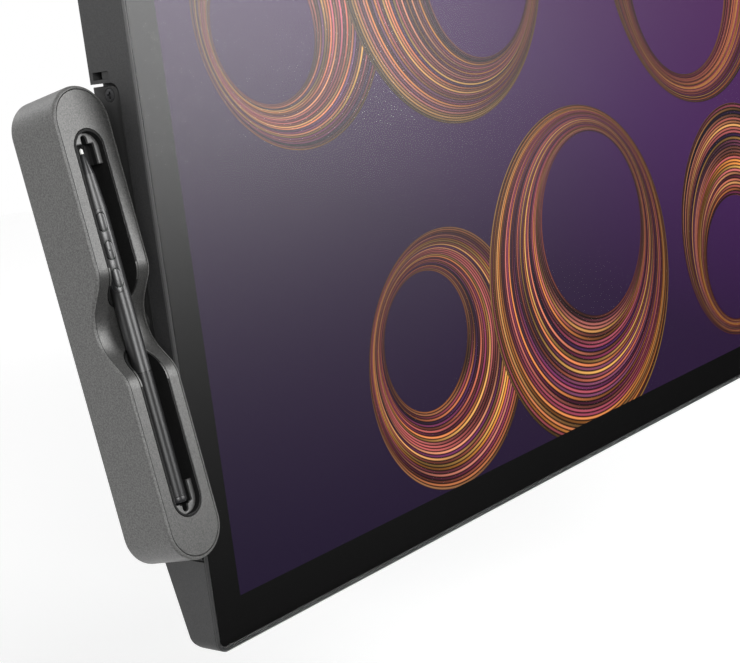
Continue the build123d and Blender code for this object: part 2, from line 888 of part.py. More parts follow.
def socket_shell(centre, width, height, tongue_width, tongue_height):
    """A flat socket that opens downwards through the bay's ceiling, with its tongue."""
    with BuildPart() as made:
        with BuildSketch(Plane.XY.offset(bay_high)):
            with Locations((bay_centre + centre, -socket_reach)):
                Rectangle(width + 2 * socket_wall, height + 2 * socket_wall)
        extrude(amount=socket_body_length)
        with BuildSketch(Plane.XY.offset(bay_high)):
            with Locations((bay_centre + centre, -socket_reach)):
                Rectangle(width, height)
        extrude(amount=socket_body_length - socket_wall, mode=Mode.SUBTRACT)
        with BuildSketch(Plane.XY.offset(bay_high + tongue_inset)):
            with Locations((bay_centre + centre, -socket_reach)):
                Rectangle(tongue_width, tongue_height)
        extrude(amount=socket_body_length - tongue_inset)
    return made.part


usb_left = socket_shell(
    usb_centre - usb_spread / 2, usb_width, usb_height, usb_tongue_width, usb_tongue_height
)
usb_right = socket_shell(
    usb_centre + usb_spread / 2, usb_width, usb_height, usb_tongue_width, usb_tongue_height
)
with BuildPart() as usb_sockets:
    add(usb_left)
    add(usb_right)
usb_sockets.part.label = "usb_sockets"
export_step(usb_sockets.part, "parts/usb_sockets.step")

video_shell = socket_shell(
    video_centre, video_width, video_height, video_tongue_width, video_tongue_height
)
with BuildPart() as video_socket:
    add(video_shell)
video_socket.part.label = "video_socket"
export_step(video_socket.part, "parts/video_socket.step")

with BuildPart() as power_socket:
    with BuildSketch(Plane.XY.offset(bay_high)):
        with Locations((bay_centre + power_centre, -socket_reach)):
            Circle(power_outer_radius)
    extrude(amount=socket_body_length)
    with BuildSketch(Plane.XY.offset(bay_high)):
        with Locations((bay_centre + power_centre, -socket_reach)):
            Circle(power_bore_radius)
            Circle(power_pin_radius, mode=Mode.SUBTRACT)
    extrude(amount=socket_body_length - socket_wall, mode=Mode.SUBTRACT)
power_socket.part.label = "power_socket"
export_step(power_socket.part, "parts/power_socket.step")

# Power button: an oblong cap with a flange under the wall and a stem towards the switch
button_flange_top = display_height / 2 - housing_wall - button_flange_gap
with BuildPart() as power_button:
    with BuildSketch(Plane.XY.offset(button_flange_top)):
        with Locations((button_x, -button_reach)):
            SlotOverall(button_length, button_width)
    extrude(amount=housing_wall + button_flange_gap + button_proud)
    with BuildSketch(Plane.XY.offset(button_flange_top)):
        with Locations((button_x, -button_reach)):
            SlotOverall(button_length + 2 * button_flange, button_width + 2 * button_flange)
    extrude(amount=-button_flange_height)
    with BuildSketch(Plane.XY.offset(button_flange_top - button_flange_height)):
        with Locations((button_x, -button_reach)):
            Circle(switch_plunger_radius)
    extrude(amount=-(button_stem_length - button_flange_gap - button_flange_height))
power_button.part.label = "power_button"
export_step(power_button.part, "parts/power_button.step")

# Power switch on its own small board under two posts of the top wall
with BuildPart() as power_switch:
    with BuildSketch(Plane.XY.offset(switch_board_top)):
        with Locations((button_x, -button_reach)):
            Rectangle(switch_size, switch_size)
    extrude(amount=switch_height)
    with BuildSketch(Plane.XY.offset(switch_board_top + switch_height)):
        with Locations((button_x, -button_reach)):
            Circle(switch_plunger_radius)
    extrude(amount=switch_plunger_height)
power_switch.part.label = "power_switch"
export_step(power_switch.part, "parts/power_switch.step")

with BuildPart() as switch_board:
    with BuildSketch(Plane.XY.offset(switch_board_top)):
        with Locations((button_x, -button_reach)):
            Rectangle(switch_board_length, switch_board_width)
    extrude(amount=-board_thickness)
switch_board.part.label = "switch_board"
export_step(switch_board.part, "parts/switch_board.step")

# Steel tab in the shallow part of the lock slot
with BuildPart() as lock_slot_tab:
    with BuildSketch(Plane.YZ.offset(slot_shallow - display_width / 2)):
        with Locations((-slot_reach - slot_length / 2 + slot_tab_gap, slot_height)):
            Rectangle(
                slot_length - slot_deep_length - 2 * slot_tab_gap,
                slot_width - 2 * slot_tab_gap,
                align=(Align.MIN, Align.CENTER),
            )
    extrude(amount=-slot_tab_thickness)
lock_slot_tab.part.label = "lock_slot_tab"
export_step(lock_slot_tab.part, "parts/lock_slot_tab.step")

# Blank cover in the right pocket
with BuildPart() as side_cover:
    with BuildSketch(Plane.YZ.offset(display_width / 2)) as cover_outline:
        with BuildLine():
            Polyline(
                (0, pocket_low + cover_gap),
                (cover_gap - pocket_reach, pocket_low + cover_gap),
                (cover_gap - pocket_reach, pocket_high - cover_gap),
                (0, pocket_high - cover_gap),
                close=True,
            )
        make_face()
        fillet(
            cover_outline.vertices().sort_by(Axis.X)[:2],
            radius=pocket_corner_radius - cover_gap,
        )
    extrude(amount=-pocket_depth)
    with BuildSketch(Plane.YZ.offset(display_width / 2)):
        with Locations([(-side_screw_reach, height) for height in side_screw_heights]):
            Circle(side_screw_head_radius + screw_hole_clearance)
    extrude(amount=-side_screw_head_height - bracket_recess, mode=Mode.SUBTRACT)
    with BuildSketch(Plane.YZ.offset(display_width / 2)):
        with Locations([(-side_screw_reach, height) for height in side_screw_heights]):
            Circle(side_screw_radius + screw_hole_clearance)
    extrude(amount=-pocket_depth, mode=Mode.SUBTRACT)
side_cover.part.label = "side_cover"
export_step(side_cover.part, "parts/side_cover.step")

# Tray frame: local X across, local Y along the tray and local Z out of its open face.
# The hinge runs along X through the origin of this frame.
tilt = radians(tray_tilt)
tray_along = (0, sin(tilt), cos(tilt))
tray_out = (0, -cos(tilt), sin(tilt))
tray_centre = (
    -display_width / 2 - tray_side_gap - tray_width / 2, -pivot_reach, pivot_height
)
tray_plane = Plane(origin=tray_centre, x_dir=(1, 0, 0), z_dir=tray_out)
tray_side_plane = Plane(origin=tray_centre, x_dir=tray_along, z_dir=(1, 0, 0))
hinge_plane = Plane(origin=(0, -pivot_reach, pivot_height), x_dir=tray_along, z_dir=(1, 0, 0))

# Bracket in the left pocket, with a foot in the side wall's step and a hub for the hinge
bracket_face = bracket_recess - display_width / 2
hub_end = hub_gap - display_width / 2 - tray_side_gap
with BuildPart() as tray_bracket:
    with BuildSketch(Plane.YZ.offset(bracket_face)) as bracket_outline:
        with BuildLine():
            Polyline(
                (0, pocket_low + foot_gap),
                (bracket_gap - pocket_reach, pocket_low + foot_gap),
                (bracket_gap - pocket_reach, pocket_high - bracket_gap),
                (0, pocket_high - bracket_gap),
                close=True,
            )
        make_face()
        fillet(
            bracket_outline.vertices().sort_by(Axis.X)[:2],
            radius=pocket_corner_radius - bracket_gap,
        )
    extrude(amount=pocket_depth - bracket_recess)
    chamfer(
        tray_bracket.faces().sort_by(Axis.X)[0].edges(), length=bracket_edge_chamfer
    )
    with BuildSketch(Plane.YZ.offset(-display_width / 2)):
        with Locations((-bracket_gap, pocket_low + foot_gap)):
            Rectangle(
                housing_front - foot_gap - bracket_gap,
                foot_height - 2 * foot_gap,
                align=(Align.MAX, Align.MIN),
            )
    extrude(amount=foot_depth)
    with BuildSketch(Plane.YZ.offset(bracket_face)):
        with Locations([(-side_screw_reach, height) for height in side_screw_heights]):
            Circle(side_screw_head_radius + screw_hole_clearance)
    extrude(amount=side_screw_head_height, mode=Mode.SUBTRACT)
    with BuildSketch(Plane.YZ.offset(bracket_face)):
        with Locations([(-side_screw_reach, height) for height in side_screw_heights]):
            Circle(side_screw_radius + screw_hole_clearance)
    extrude(amount=pocket_depth, mode=Mode.SUBTRACT)
    with BuildSketch(hinge_plane.offset(hub_end)):
        Circle(hub_radius)
    extrude(amount=bracket_face - hub_end)
    with BuildSketch(hinge_plane.offset(hub_end)):
        Circle(pin_radius + pin_fit)
    extrude(amount=bracket_face - hub_end + pin_inset * 2, mode=Mode.SUBTRACT)
tray_bracket.part.label = "tray_bracket"
export_step(tray_bracket.part, "parts/tray_bracket.step")

# Side screws of bracket and cover
side_screw = screw(
    side_screw_radius, side_screw_head_radius, side_screw_head_height, side_screw_length
)
left_screw_plane = Plane(
    origin=(bracket_face, 0, 0), x_dir=(0, 0, 1), z_dir=(-1, 0, 0)
)
right_screw_plane = Plane(
    origin=(display_width / 2 - bracket_recess, 0, 0), x_dir=(0, 0, 1), z_dir=(1, 0, 0)
)
with BuildPart() as side_screws:
    with Locations(left_screw_plane):
        with Locations([(height, -side_screw_reach) for height in side_screw_heights]):
            add(side_screw)
    with Locations(right_screw_plane):
        with Locations([(height, side_screw_reach) for height in side_screw_heights]):
            add(side_screw)
side_screws.part.label = "side_screws"
export_step(side_screws.part, "parts/side_screws.step")

# Hinge pin, fast in the bracket, with its plate, washer and nut inside the tray
tray_inner_side = tray_centre[0] + tray_width / 2 - tray_wall
washer_side = tray_inner_side - hinge_plate_thickness - washer_thickness
nut_end = washer_side - nut_thickness
pin_start = nut_end - pin_tail
with BuildPart() as hinge_pin:
    with BuildSketch(hinge_plane.offset(pin_start)):
        Circle(pin_radius)
    extrude(amount=bracket_face + pin_inset - pin_start)
hinge_pin.part.label = "hinge_pin"
export_step(hinge_pin.part, "parts/hinge_pin.step")

with BuildPart() as hinge_plate:
    with BuildSketch(hinge_plane.offset(tray_inner_side - hinge_plate_thickness)):
        with Locations((0, (hinge_plate_top + hinge_plate_bottom) / 2)):
            Rectangle(hinge_plate_length, hinge_plate_top - hinge_plate_bottom)
        Circle(pin_radius + pin_running_gap, mode=Mode.SUBTRACT)
    extrude(amount=hinge_plate_thickness)
hinge_plate.part.label = "hinge_plate"
export_step(hinge_plate.part, "parts/hinge_plate.step")

with BuildPart() as hinge_washer:
    with BuildSketch(hinge_plane.offset(washer_side)):
        Circle(washer_radius)
        Circle(pin_radius + pin_running_gap, mode=Mode.SUBTRACT)
    extrude(amount=washer_thickness)
hinge_washer.part.label = "hinge_washer"
export_step(hinge_washer.part, "parts/hinge_washer.step")

with BuildPart() as hinge_nut:
    with BuildSketch(hinge_plane.offset(nut_end)):
        RegularPolygon(nut_radius, nut_sides)
        Circle(pin_radius + pin_fit, mode=Mode.SUBTRACT)
    extrude(amount=nut_thickness)
hinge_nut.part.label = "hinge_nut"
export_step(hinge_nut.part, "parts/hinge_nut.step")

# Heights along the tray's own Z
tray_front = pivot_to_front
tray_rear = tray_front - tray_depth
saddle_apex = saddle_half_mouth * tan(radians(saddle_slope))


def above_saddle(drop):
    """Everything in front of the tray's open face, with its finger saddle, lowered by drop."""
    level = tray_front - drop
    with BuildPart() as block:
        with BuildSketch(tray_side_plane.offset(-tray_width)) as side:
            with BuildLine():
                Polyline(
                    (-tray_length, level),
                    (-saddle_half_mouth, level),
                    (0, level - saddle_apex),
                    (saddle_half_mouth, level),
                    (tray_length, level),
                    (tray_length, tray_front + tray_depth),
                    (-tray_length, tray_front + tray_depth),
                    close=True,
                )
            make_face()
            low = side.vertices().filter_by_position(
                Axis.X, -saddle_half_mouth * 2, saddle_half_mouth * 2
            )
            fillet(low.sort_by(Axis.Y)[:1], radius=saddle_floor_radius)
            mouth = side.vertices().filter_by_position(
                Axis.X, -saddle_half_mouth - overrun, saddle_half_mouth + overrun
            )
            fillet(mouth.group_by(Axis.Y)[-1], radius=saddle_shoulder_radius)
        extrude(amount=2 * tray_width)
    return block.part


def front_boundary(part):
    """The outer edges of a tray piece's open face, which each bound one of its faces."""
    out = Vector(*tray_out)
    front = part.faces().filter_by(lambda face: face.normal_at().dot(out) > front_share)
    counted = Counter(edge for face in front for edge in face.edges())
    return ShapeList(edge for edge, times in counted.items() if times == 1)


front_share = 0.5
tray_surface = above_saddle(0)
face_seat = above_saddle(face_thickness)
flange_seat = above_saddle(face_thickness + liner_flange_thickness)

# Pen frame: X along the pen from its tail. The buttons face a little to the left of the
# tray's open side, because the pen lies rolled in its seat.
pen_tail_place = pen_tip_place - pen_length
pen_tail = tray_side_plane.from_local_coords((pen_tail_place, tray_front - pen_axis_drop, 0))
pen_plane = Plane(origin=pen_tail, x_dir=tray_along, z_dir=(1, 0, 0))
roll = radians(pen_roll)
pen_up = (-sin(roll), -cos(tilt) * cos(roll), sin(tilt) * cos(roll))
pen_top_plane = Plane(origin=pen_tail, x_dir=tray_along, z_dir=pen_up)
pen_axis = Axis(pen_tail, tray_along)
pen_tip = pen_length
nose_tip = pen_tip - nib_show
nose_base = pen_tip - nose_end
grip_base = pen_tip - grip_start


def turned(points, cut_points=None):
    """A piece turned about the pen's axis from its outline, less a turned cut."""
    with BuildPart() as made:
        with BuildSketch(pen_plane):
            with BuildLine():
                Polyline(*points, close=True)
            make_face()
        revolve(axis=pen_axis)
        if cut_points:
            with BuildSketch(pen_plane):
                with BuildLine():
                    Polyline(*cut_points, close=True)
                make_face()
            revolve(axis=pen_axis, mode=Mode.SUBTRACT)
    return made.part


# Groove that seats the pen: its turned outline, enlarged by the seat's clearance
seat_groove = turned([
    (-overrun, 0),
    (-overrun, pen_radius + seat_clearance),
    (grip_base, pen_radius + seat_clearance),
    (nose_base, nose_base_radius + seat_clearance),
    (nose_tip, nose_tip_radius + seat_clearance),
    (pen_tip + overrun, nose_tip_radius + seat_clearance),
    (pen_tip + overrun, 0),
])

# Groove that clears the pen where it crosses the floor of the finger saddle
saddle_groove = turned([
    (-pen_tail_place - saddle_half_mouth, 0),
    (-pen_tail_place - saddle_half_mouth, pen_radius + saddle_groove_gap),
    (-pen_tail_place + saddle_half_mouth, pen_radius + saddle_groove_gap),
    (-pen_tail_place + saddle_half_mouth, 0),
])

# Tray shell: the speckled side wall
face_width = tray_width - 2 * (tray_edge_radius + face_seam)
face_length = tray_length - 2 * (tray_edge_radius + face_seam)
inner_width = tray_width - 2 * tray_wall
inner_length = tray_length - 2 * tray_wall
with BuildPart() as face_recess:
    with BuildSketch(tray_plane.offset(tray_rear)):
        SlotOverall(face_length + 2 * face_seam, face_width + 2 * face_seam, rotation=90)
    extrude(amount=tray_depth)
    add(face_seat, mode=Mode.INTERSECT)

with BuildPart() as tray_shell:
    with BuildSketch(tray_plane.offset(tray_rear)):
        SlotOverall(tray_length, tray_width, rotation=90)
    extrude(amount=tray_depth)
    add(tray_surface, mode=Mode.SUBTRACT)
    fillet(front_boundary(tray_shell.part), radius=tray_edge_radius)
    rear_face = tray_shell.faces().sort_by(Axis(tray_centre, tray_out))[0]
    fillet(rear_face.edges(), radius=tray_rear_radius)
    add(face_recess.part, mode=Mode.SUBTRACT)
    with BuildSketch(tray_plane.offset(tray_rear)):
        SlotOverall(inner_length, inner_width, rotation=90)
    extrude(amount=tray_back_recess + tray_back_thickness, mode=Mode.SUBTRACT)
    with BuildSketch(tray_plane.offset(tray_rear)):
        SlotOverall(
            inner_length - 2 * back_ledge_width, inner_width - 2 * back_ledge_width, rotation=90
        )
    extrude(amount=tray_depth, mode=Mode.SUBTRACT)
    ledge_front = tray_rear + tray_back_recess + tray_back_thickness + back_ledge_height
    with BuildSketch(tray_plane.offset(ledge_front)):
        SlotOverall(inner_length, inner_width, rotation=90)
    extrude(amount=tray_depth, mode=Mode.SUBTRACT)
    with BuildSketch(hinge_plane.offset(tray_inner_side - overrun)):
        Circle(pin_radius + pin_running_gap)
    extrude(amount=tray_wall + 2 * overrun, mode=Mode.SUBTRACT)
tray_shell.part.label = "tray_shell"
export_step(tray_shell.part, "parts/tray_shell.step")

# Tray face: the brighter cover, which follows the saddle and parts its two openings there
with BuildPart() as tray_face:
    with BuildSketch(tray_plane.offset(tray_rear)):
        SlotOverall(face_length, face_width, rotation=90)
        with Locations([(0, well_place), (0, -well_place)]):
            SlotOverall(well_length, opening_width, rotation=90, mode=Mode.SUBTRACT)
    extrude(amount=tray_depth)
    add(face_seat, mode=Mode.INTERSECT)
    add(tray_surface, mode=Mode.SUBTRACT)
    fillet(front_boundary(tray_face.part), radius=face_edge_radius)
    add(saddle_groove, mode=Mode.SUBTRACT)
tray_face.part.label = "tray_face"
export_step(tray_face.part, "parts/tray_face.step")

# Tray liner: two black wells, each with a thin rim level with the face, on one flange behind it
liner_width = opening_width - 2 * liner_gap
liner_length = well_length - 2 * liner_gap
trough_width = liner_width - 2 * liner_wall
trough_length = liner_length - 2 * liner_wall
trough_floor = tray_front - liner_depth
liner_bottom = trough_floor - liner_floor
back_seat = tray_rear + tray_back_recess + tray_back_thickness
# End of a well, from above: the outline of a cradle and of the liner's block under it
cradle_top = tray_front - cradle_drop
cradle_bottom = cradle_top - cradle_thickness
pen_level = tray_front - pen_axis_drop


def ledge(end, growth, inset, low, high):
    """The well's end between two heights, less its notch, key slot and pen seat."""
    outward = (Align.CENTER, Align.MIN if end > 0 else Align.MAX)
    with BuildPart() as made:
        with BuildSketch(tray_plane.offset(low)):
            with Locations((0, end * well_place)):
                SlotOverall(trough_length + growth, trough_width + growth, rotation=90)
            with Locations((0, end * (cradle_arm_end + inset))):
                Rectangle(tray_width, tray_length, align=outward, mode=Mode.INTERSECT)
        extrude(amount=high - low)
        with BuildSketch(tray_plane.offset(pen_level)) as notch:
            with Locations((0, end * (cradle_arm_end - overrun))):
                Rectangle(
                    notch_width + 2 * inset,
                    notch_end - cradle_arm_end + overrun + inset,
                    align=outward,
                )
            corners = notch.vertices().sort_by(Axis.Y)
            fillet(corners[2:] if end > 0 else corners[:2], radius=notch_corner_radius)
        extrude(amount=pen_axis_drop, mode=Mode.SUBTRACT)
        with BuildSketch(tray_plane.offset(cradle_top - key_slot_depth)):
            with Locations((0, end * (notch_end - key_slot_width))):
                Rectangle(
                    key_slot_width + 2 * inset,
                    key_slot_end - notch_end + key_slot_width / 2,
                    align=outward,
                )
            with Locations((0, end * (key_slot_end - key_slot_width / 2))):
                Circle(key_slot_width / 2 + inset)
        extrude(amount=tray_depth, mode=Mode.SUBTRACT)
        add(seat_groove, mode=Mode.SUBTRACT)
    return made.part


with BuildPart() as liner_flange_slab:
    with BuildSketch(tray_plane.offset(tray_rear)):
        SlotOverall(
            opening_length - 2 * liner_gap + 2 * liner_flange,
            liner_width + 2 * liner_flange,
            rotation=90,
        )
    extrude(amount=tray_depth)
    add(flange_seat, mode=Mode.INTERSECT)
    add(face_seat, mode=Mode.SUBTRACT)

with BuildPart() as tray_liner:
    with BuildSketch(tray_plane.offset(liner_bottom)):
        with Locations([(0, well_place), (0, -well_place)]):
            SlotOverall(liner_length, liner_width, rotation=90)
    extrude(amount=tray_front - liner_bottom)
    add(tray_surface, mode=Mode.SUBTRACT)
    add(liner_flange_slab.part)
    with BuildSketch(tray_plane.offset(trough_floor)):
        with Locations([(0, well_place), (0, -well_place)]):
            SlotOverall(trough_length, trough_width, rotation=90)
    extrude(amount=tray_depth, mode=Mode.SUBTRACT)
    add(saddle_groove, mode=Mode.SUBTRACT)
    for end in (1, -1):
        add(ledge(end, liner_wall, cradle_block_inset, trough_floor, cradle_bottom))
    with BuildSketch(tray_plane.offset(liner_bottom)):
        with Locations([(0, place) for place in back_screw_places]):
            Circle(back_post_radius)
    extrude(amount=back_seat - liner_bottom)
    with BuildSketch(tray_plane.offset(back_seat)):
        with Locations([(0, place) for place in back_screw_places]):
            Circle(back_screw_radius + screw_fit)
    extrude(amount=back_screw_length, mode=Mode.SUBTRACT)
tray_liner.part.label = "tray_liner"
export_step(tray_liner.part, "parts/tray_liner.step")

# Cradles: the grey ledges that lie on the liner's end blocks
for name, end in (("cradle_upper", 1), ("cradle_lower", -1)):
    with BuildPart() as cradle:
        add(ledge(end, -2 * cradle_gap, 0, cradle_bottom, cradle_top))
        fillet(front_boundary(cradle.part), radius=cradle_edge_radius)
    cradle.part.label = name
    export_step(cradle.part, f"parts/{name}.step")

# Tray back with its screws
back_screw_depth = back_screw_head_height
with BuildPart() as tray_back:
    with BuildSketch(tray_plane.offset(tray_rear + tray_back_recess)):
        SlotOverall(
            inner_length - 2 * tray_back_gap, inner_width - 2 * tray_back_gap, rotation=90
        )
        with Locations([(0, place) for place in back_screw_places]):
            Circle(back_screw_radius + screw_hole_clearance, mode=Mode.SUBTRACT)
    extrude(amount=tray_back_thickness)
    with BuildSketch(tray_plane.offset(tray_rear + tray_back_recess)):
        with Locations([(0, place) for place in back_screw_places]):
            Circle(back_screw_head_radius + screw_hole_clearance)
    extrude(amount=back_screw_depth, mode=Mode.SUBTRACT)
tray_back.part.label = "tray_back"
export_step(tray_back.part, "parts/tray_back.step")

back_screw = screw(
    back_screw_radius, back_screw_head_radius, back_screw_head_height, back_screw_length
)
back_screw_plane = Plane(
    origin=tray_plane.from_local_coords((0, 0, tray_rear + tray_back_recess)),
    x_dir=(1, 0, 0),
    z_dir=tuple(-part for part in tray_out),
)
with BuildPart() as tray_back_screws:
    with Locations(back_screw_plane):
        with Locations([(0, place) for place in back_screw_places]):
            add(back_screw)
tray_back_screws.part.label = "tray_back_screws"
export_step(tray_back_screws.part, "parts/tray_back_screws.step")

# Rack of spare nibs on the inside of the tray's back
rack_level = back_seat + rack_height / 2
rack_end_plane = Plane(
    origin=tray_plane.from_local_coords((0, rack_centre + rack_length / 2, rack_level)),
    x_dir=(1, 0, 0),
    z_dir=tray_along,
)
with BuildPart() as nib_rack:
    with BuildSketch(tray_plane.offset(back_seat)):
        with Locations((0, rack_centre)):
            Rectangle(rack_width, rack_length)
    extrude(amount=rack_height)
    with BuildSketch(rack_end_plane):
        with GridLocations(spare_nib_spacing_length, 0, spare_nib_count, 1):
            Circle(spare_nib_radius + spare_nib_fit)
    extrude(amount=spare_nib_proud - spare_nib_length, mode=Mode.SUBTRACT)
nib_rack.part.label = "nib_rack"
export_step(nib_rack.part, "parts/nib_rack.step")

with BuildPart() as spare_nibs:
    with BuildSketch(rack_end_plane.offset(spare_nib_proud)):
        with GridLocations(spare_nib_spacing_length, 0, spare_nib_count, 1):
            Circle(spare_nib_radius)
    extrude(amount=-spare_nib_length)
spare_nibs.part.label = "spare_nibs"
export_step(spare_nibs.part, "parts/spare_nibs.step")

# Pen barrel: the grip half, tapered to the nose, with a pocket for the switch plate
pen_bore = pen_radius - pen_wall
ring_base = pen_tip - ring_place
barrel_shape = turned(
    [
        (ring_base + ring_width / 2, 0),
        (ring_base + ring_width / 2, pen_radius),
        (grip_base, pen_radius),
        (nose_base, nose_base_radius),
        (nose_base, 0),
    ],
    [
        (ring_base, 0),
        (ring_base, pen_bore),
        (grip_base, pen_bore),
        (nose_base, nose_base_radius - pen_wall),
        (pen_tip, nose_base_radius - pen_wall),
        (pen_tip, 0),
    ],
)
plate_centre = pen_tip - (plate_start + plate_end) / 2
plate_length = plate_end - plate_start
with BuildPart() as pen_barrel:
    add(barrel_shape)
    with BuildSketch(pen_top_plane.offset(plate_seat)):
        with Locations((plate_centre, 0)):
            SlotOverall(plate_length + 2 * plate_gap, plate_width + 2 * plate_gap)
    extrude(amount=pen_radius, mode=Mode.SUBTRACT)
pen_barrel.part.label = "pen_barrel"
export_step(pen_barrel.part, "parts/pen_barrel.step")

# Nose: the cone in front of the grip, with a spigot in the barrel and a bore for the nib
spigot_radius = nose_base_radius - pen_wall - spigot_fit
spigot_end = nose_base - nose_spigot_length
nose_shape = turned(
    [
        (spigot_end, 0),
        (spigot_end, spigot_radius),
        (nose_base, spigot_radius),
        (nose_base, nose_base_radius),
        (nose_tip, nose_tip_radius),
        (nose_tip, 0),
    ],
    [
        (spigot_end - overrun, 0),
        (spigot_end - overrun, nib_radius + nib_running_gap),
        (pen_tip, nib_radius + nib_running_gap),
        (pen_tip, 0),
    ],
)
with BuildPart() as pen_nose:
    add(nose_shape)
pen_nose.part.label = "pen_nose"
export_step(pen_nose.part, "parts/pen_nose.step")

# Nib, which slides a little when it is pressed
nib_shape = turned([
    (pen_tip - nib_length, 0),
    (pen_tip - nib_length, nib_radius),
    (pen_tip - nib_tip_radius, nib_radius),
    (pen_tip, nib_tip_radius / 2),
    (pen_tip, 0),
])
with BuildPart() as pen_nib:
    add(nib_shape)
pen_nib.part.label = "pen_nib"
export_step(pen_nib.part, "parts/pen_nib.step")

# Switch plate, level with the barrel round it
buttons = {
    "pen_button_upper": button_starts[0],
    "pen_button_middle": button_starts[1],
    "pen_button_lower": button_starts[2],
}
pen_solid = turned([(0, 0), (0, pen_radius), (pen_tip, pen_radius), (pen_tip, 0)])
button_radius = pen_radius + pen_button_proud
button_solid = turned([(0, 0), (0, button_radius), (pen_tip, button_radius), (pen_tip, 0)])
with BuildPart() as switch_plate:
    with BuildSketch(pen_top_plane.offset(plate_seat)):
        with Locations((plate_centre, 0)):
            SlotOverall(plate_length, plate_width)
        for start in button_starts:
            with Locations((pen_tip - start - pen_button_length / 2, 0)):
                SlotOverall(
                    pen_button_length + 2 * pen_button_gap,
                    pen_button_width + 2 * pen_button_gap,
                    mode=Mode.SUBTRACT,
                )
    extrude(amount=pen_radius)
    add(pen_solid, mode=Mode.INTERSECT)
switch_plate.part.label = "switch_plate"
export_step(switch_plate.part, "parts/switch_plate.step")

# Three side buttons, each through its slot in the switch plate
for name, start in buttons.items():
    with BuildPart() as pen_button:
        with BuildSketch(pen_top_plane.offset(pen_button_base)):
            with Locations((pen_tip - start - pen_button_length / 2, 0)):
                SlotOverall(pen_button_length, pen_button_width)
        extrude(amount=pen_radius)
        add(button_solid, mode=Mode.INTERSECT)
    pen_button.part.label = name
    export_step(pen_button.part, f"parts/{name}.step")

# Ring at the joint of the two barrel halves
ring_shape = turned(
    [
        (ring_base - ring_width / 2, 0),
        (ring_base - ring_width / 2, pen_radius - ring_step),
        (ring_base + ring_width / 2, pen_radius - ring_step),
        (ring_base + ring_width / 2, 0),
    ],
    [
        (ring_base - ring_width, 0),
        (ring_base - ring_width, pen_bore),
        (ring_base + ring_width, pen_bore),
        (ring_base + ring_width, 0),
    ],
)
with BuildPart() as pen_ring:
    add(ring_shape)
pen_ring.part.label = "pen_ring"
export_step(pen_ring.part, "parts/pen_ring.step")

# Rear barrel
rear_barrel_shape = turned(
    [
        (plug_length, 0),
        (plug_length, pen_radius),
        (ring_base - ring_width / 2, pen_radius),
        (ring_base - ring_width / 2, 0),
    ],
    [
        (0, 0),
        (0, pen_bore),
        (ring_base, pen_bore),
        (ring_base, 0),
    ],
)
with BuildPart() as pen_rear_barrel:
    add(rear_barrel_shape)
pen_rear_barrel.part.label = "pen_rear_barrel"
export_step(pen_rear_barrel.part, "parts/pen_rear_barrel.step")

# End plug with a spigot in the rear barrel
plug_shape = turned([
    (0, 0),
    (0, pen_radius - plug_chamfer),
    (plug_chamfer, pen_radius),
    (plug_length, pen_radius),
    (plug_length, pen_bore - spigot_fit),
    (plug_length + spigot_length, pen_bore - spigot_fit),
    (plug_length + spigot_length, 0),
])
with BuildPart() as pen_end_plug:
    add(plug_shape)
pen_end_plug.part.label = "pen_end_plug"
export_step(pen_end_plug.part, "parts/pen_end_plug.step")

# Joining sleeve inside both barrels, behind the ring
sleeve_shape = turned(
    [
        (ring_base - spigot_length, 0),
        (ring_base - spigot_length, pen_bore - spigot_fit),
        (ring_base + spigot_length, pen_bore - spigot_fit),
        (ring_base + spigot_length, 0),
    ],
    [
        (ring_base - spigot_length * 2, 0),
        (ring_base - spigot_length * 2, pen_bore - spigot_wall),
        (ring_base + spigot_length * 2, pen_bore - spigot_wall),
        (ring_base + spigot_length * 2, 0),
    ],
)
with BuildPart() as pen_sleeve:
    add(sleeve_shape)
pen_sleeve.part.label = "pen_sleeve"
export_step(pen_sleeve.part, "parts/pen_sleeve.step")

# Coil on its ferrite, round the nib
coil_shape = turned(
    [
        (pen_tip - coil_start - coil_length, 0),
        (pen_tip - coil_start - coil_length, coil_radius),
        (pen_tip - coil_start, coil_radius),
        (pen_tip - coil_start, 0),
    ],
    [
        (pen_tip - coil_start - coil_length * 2, 0),
        (pen_tip - coil_start - coil_length * 2, coil_bore_radius),
        (pen_tip, coil_bore_radius),
        (pen_tip, 0),
    ],
)
with BuildPart() as pen_coil:
    add(coil_shape)
pen_coil.part.label = "pen_coil"
export_step(pen_coil.part, "parts/pen_coil.step")

# Circuit board of the pen, with its switches under the buttons
with BuildPart() as pen_board:
    with BuildSketch(pen_top_plane):
        with Locations((pen_tip - (pen_board_start + pen_board_end) / 2, 0)):
            Rectangle(pen_board_end - pen_board_start, pen_board_width)
    extrude(amount=pen_board_thickness / 2, both=True)
    with BuildSketch(pen_top_plane.offset(pen_board_thickness / 2)):
        for start in button_starts:
            with Locations((pen_tip - start - pen_button_length / 2, 0)):
                Rectangle(pen_switch_size, pen_switch_size)
    extrude(amount=pen_switch_top - pen_board_thickness / 2)
pen_board.part.label = "pen_board"
export_step(pen_board.part, "parts/pen_board.step")
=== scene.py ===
import bpy
from math import cos, radians, sin
from mathutils import Matrix, Vector


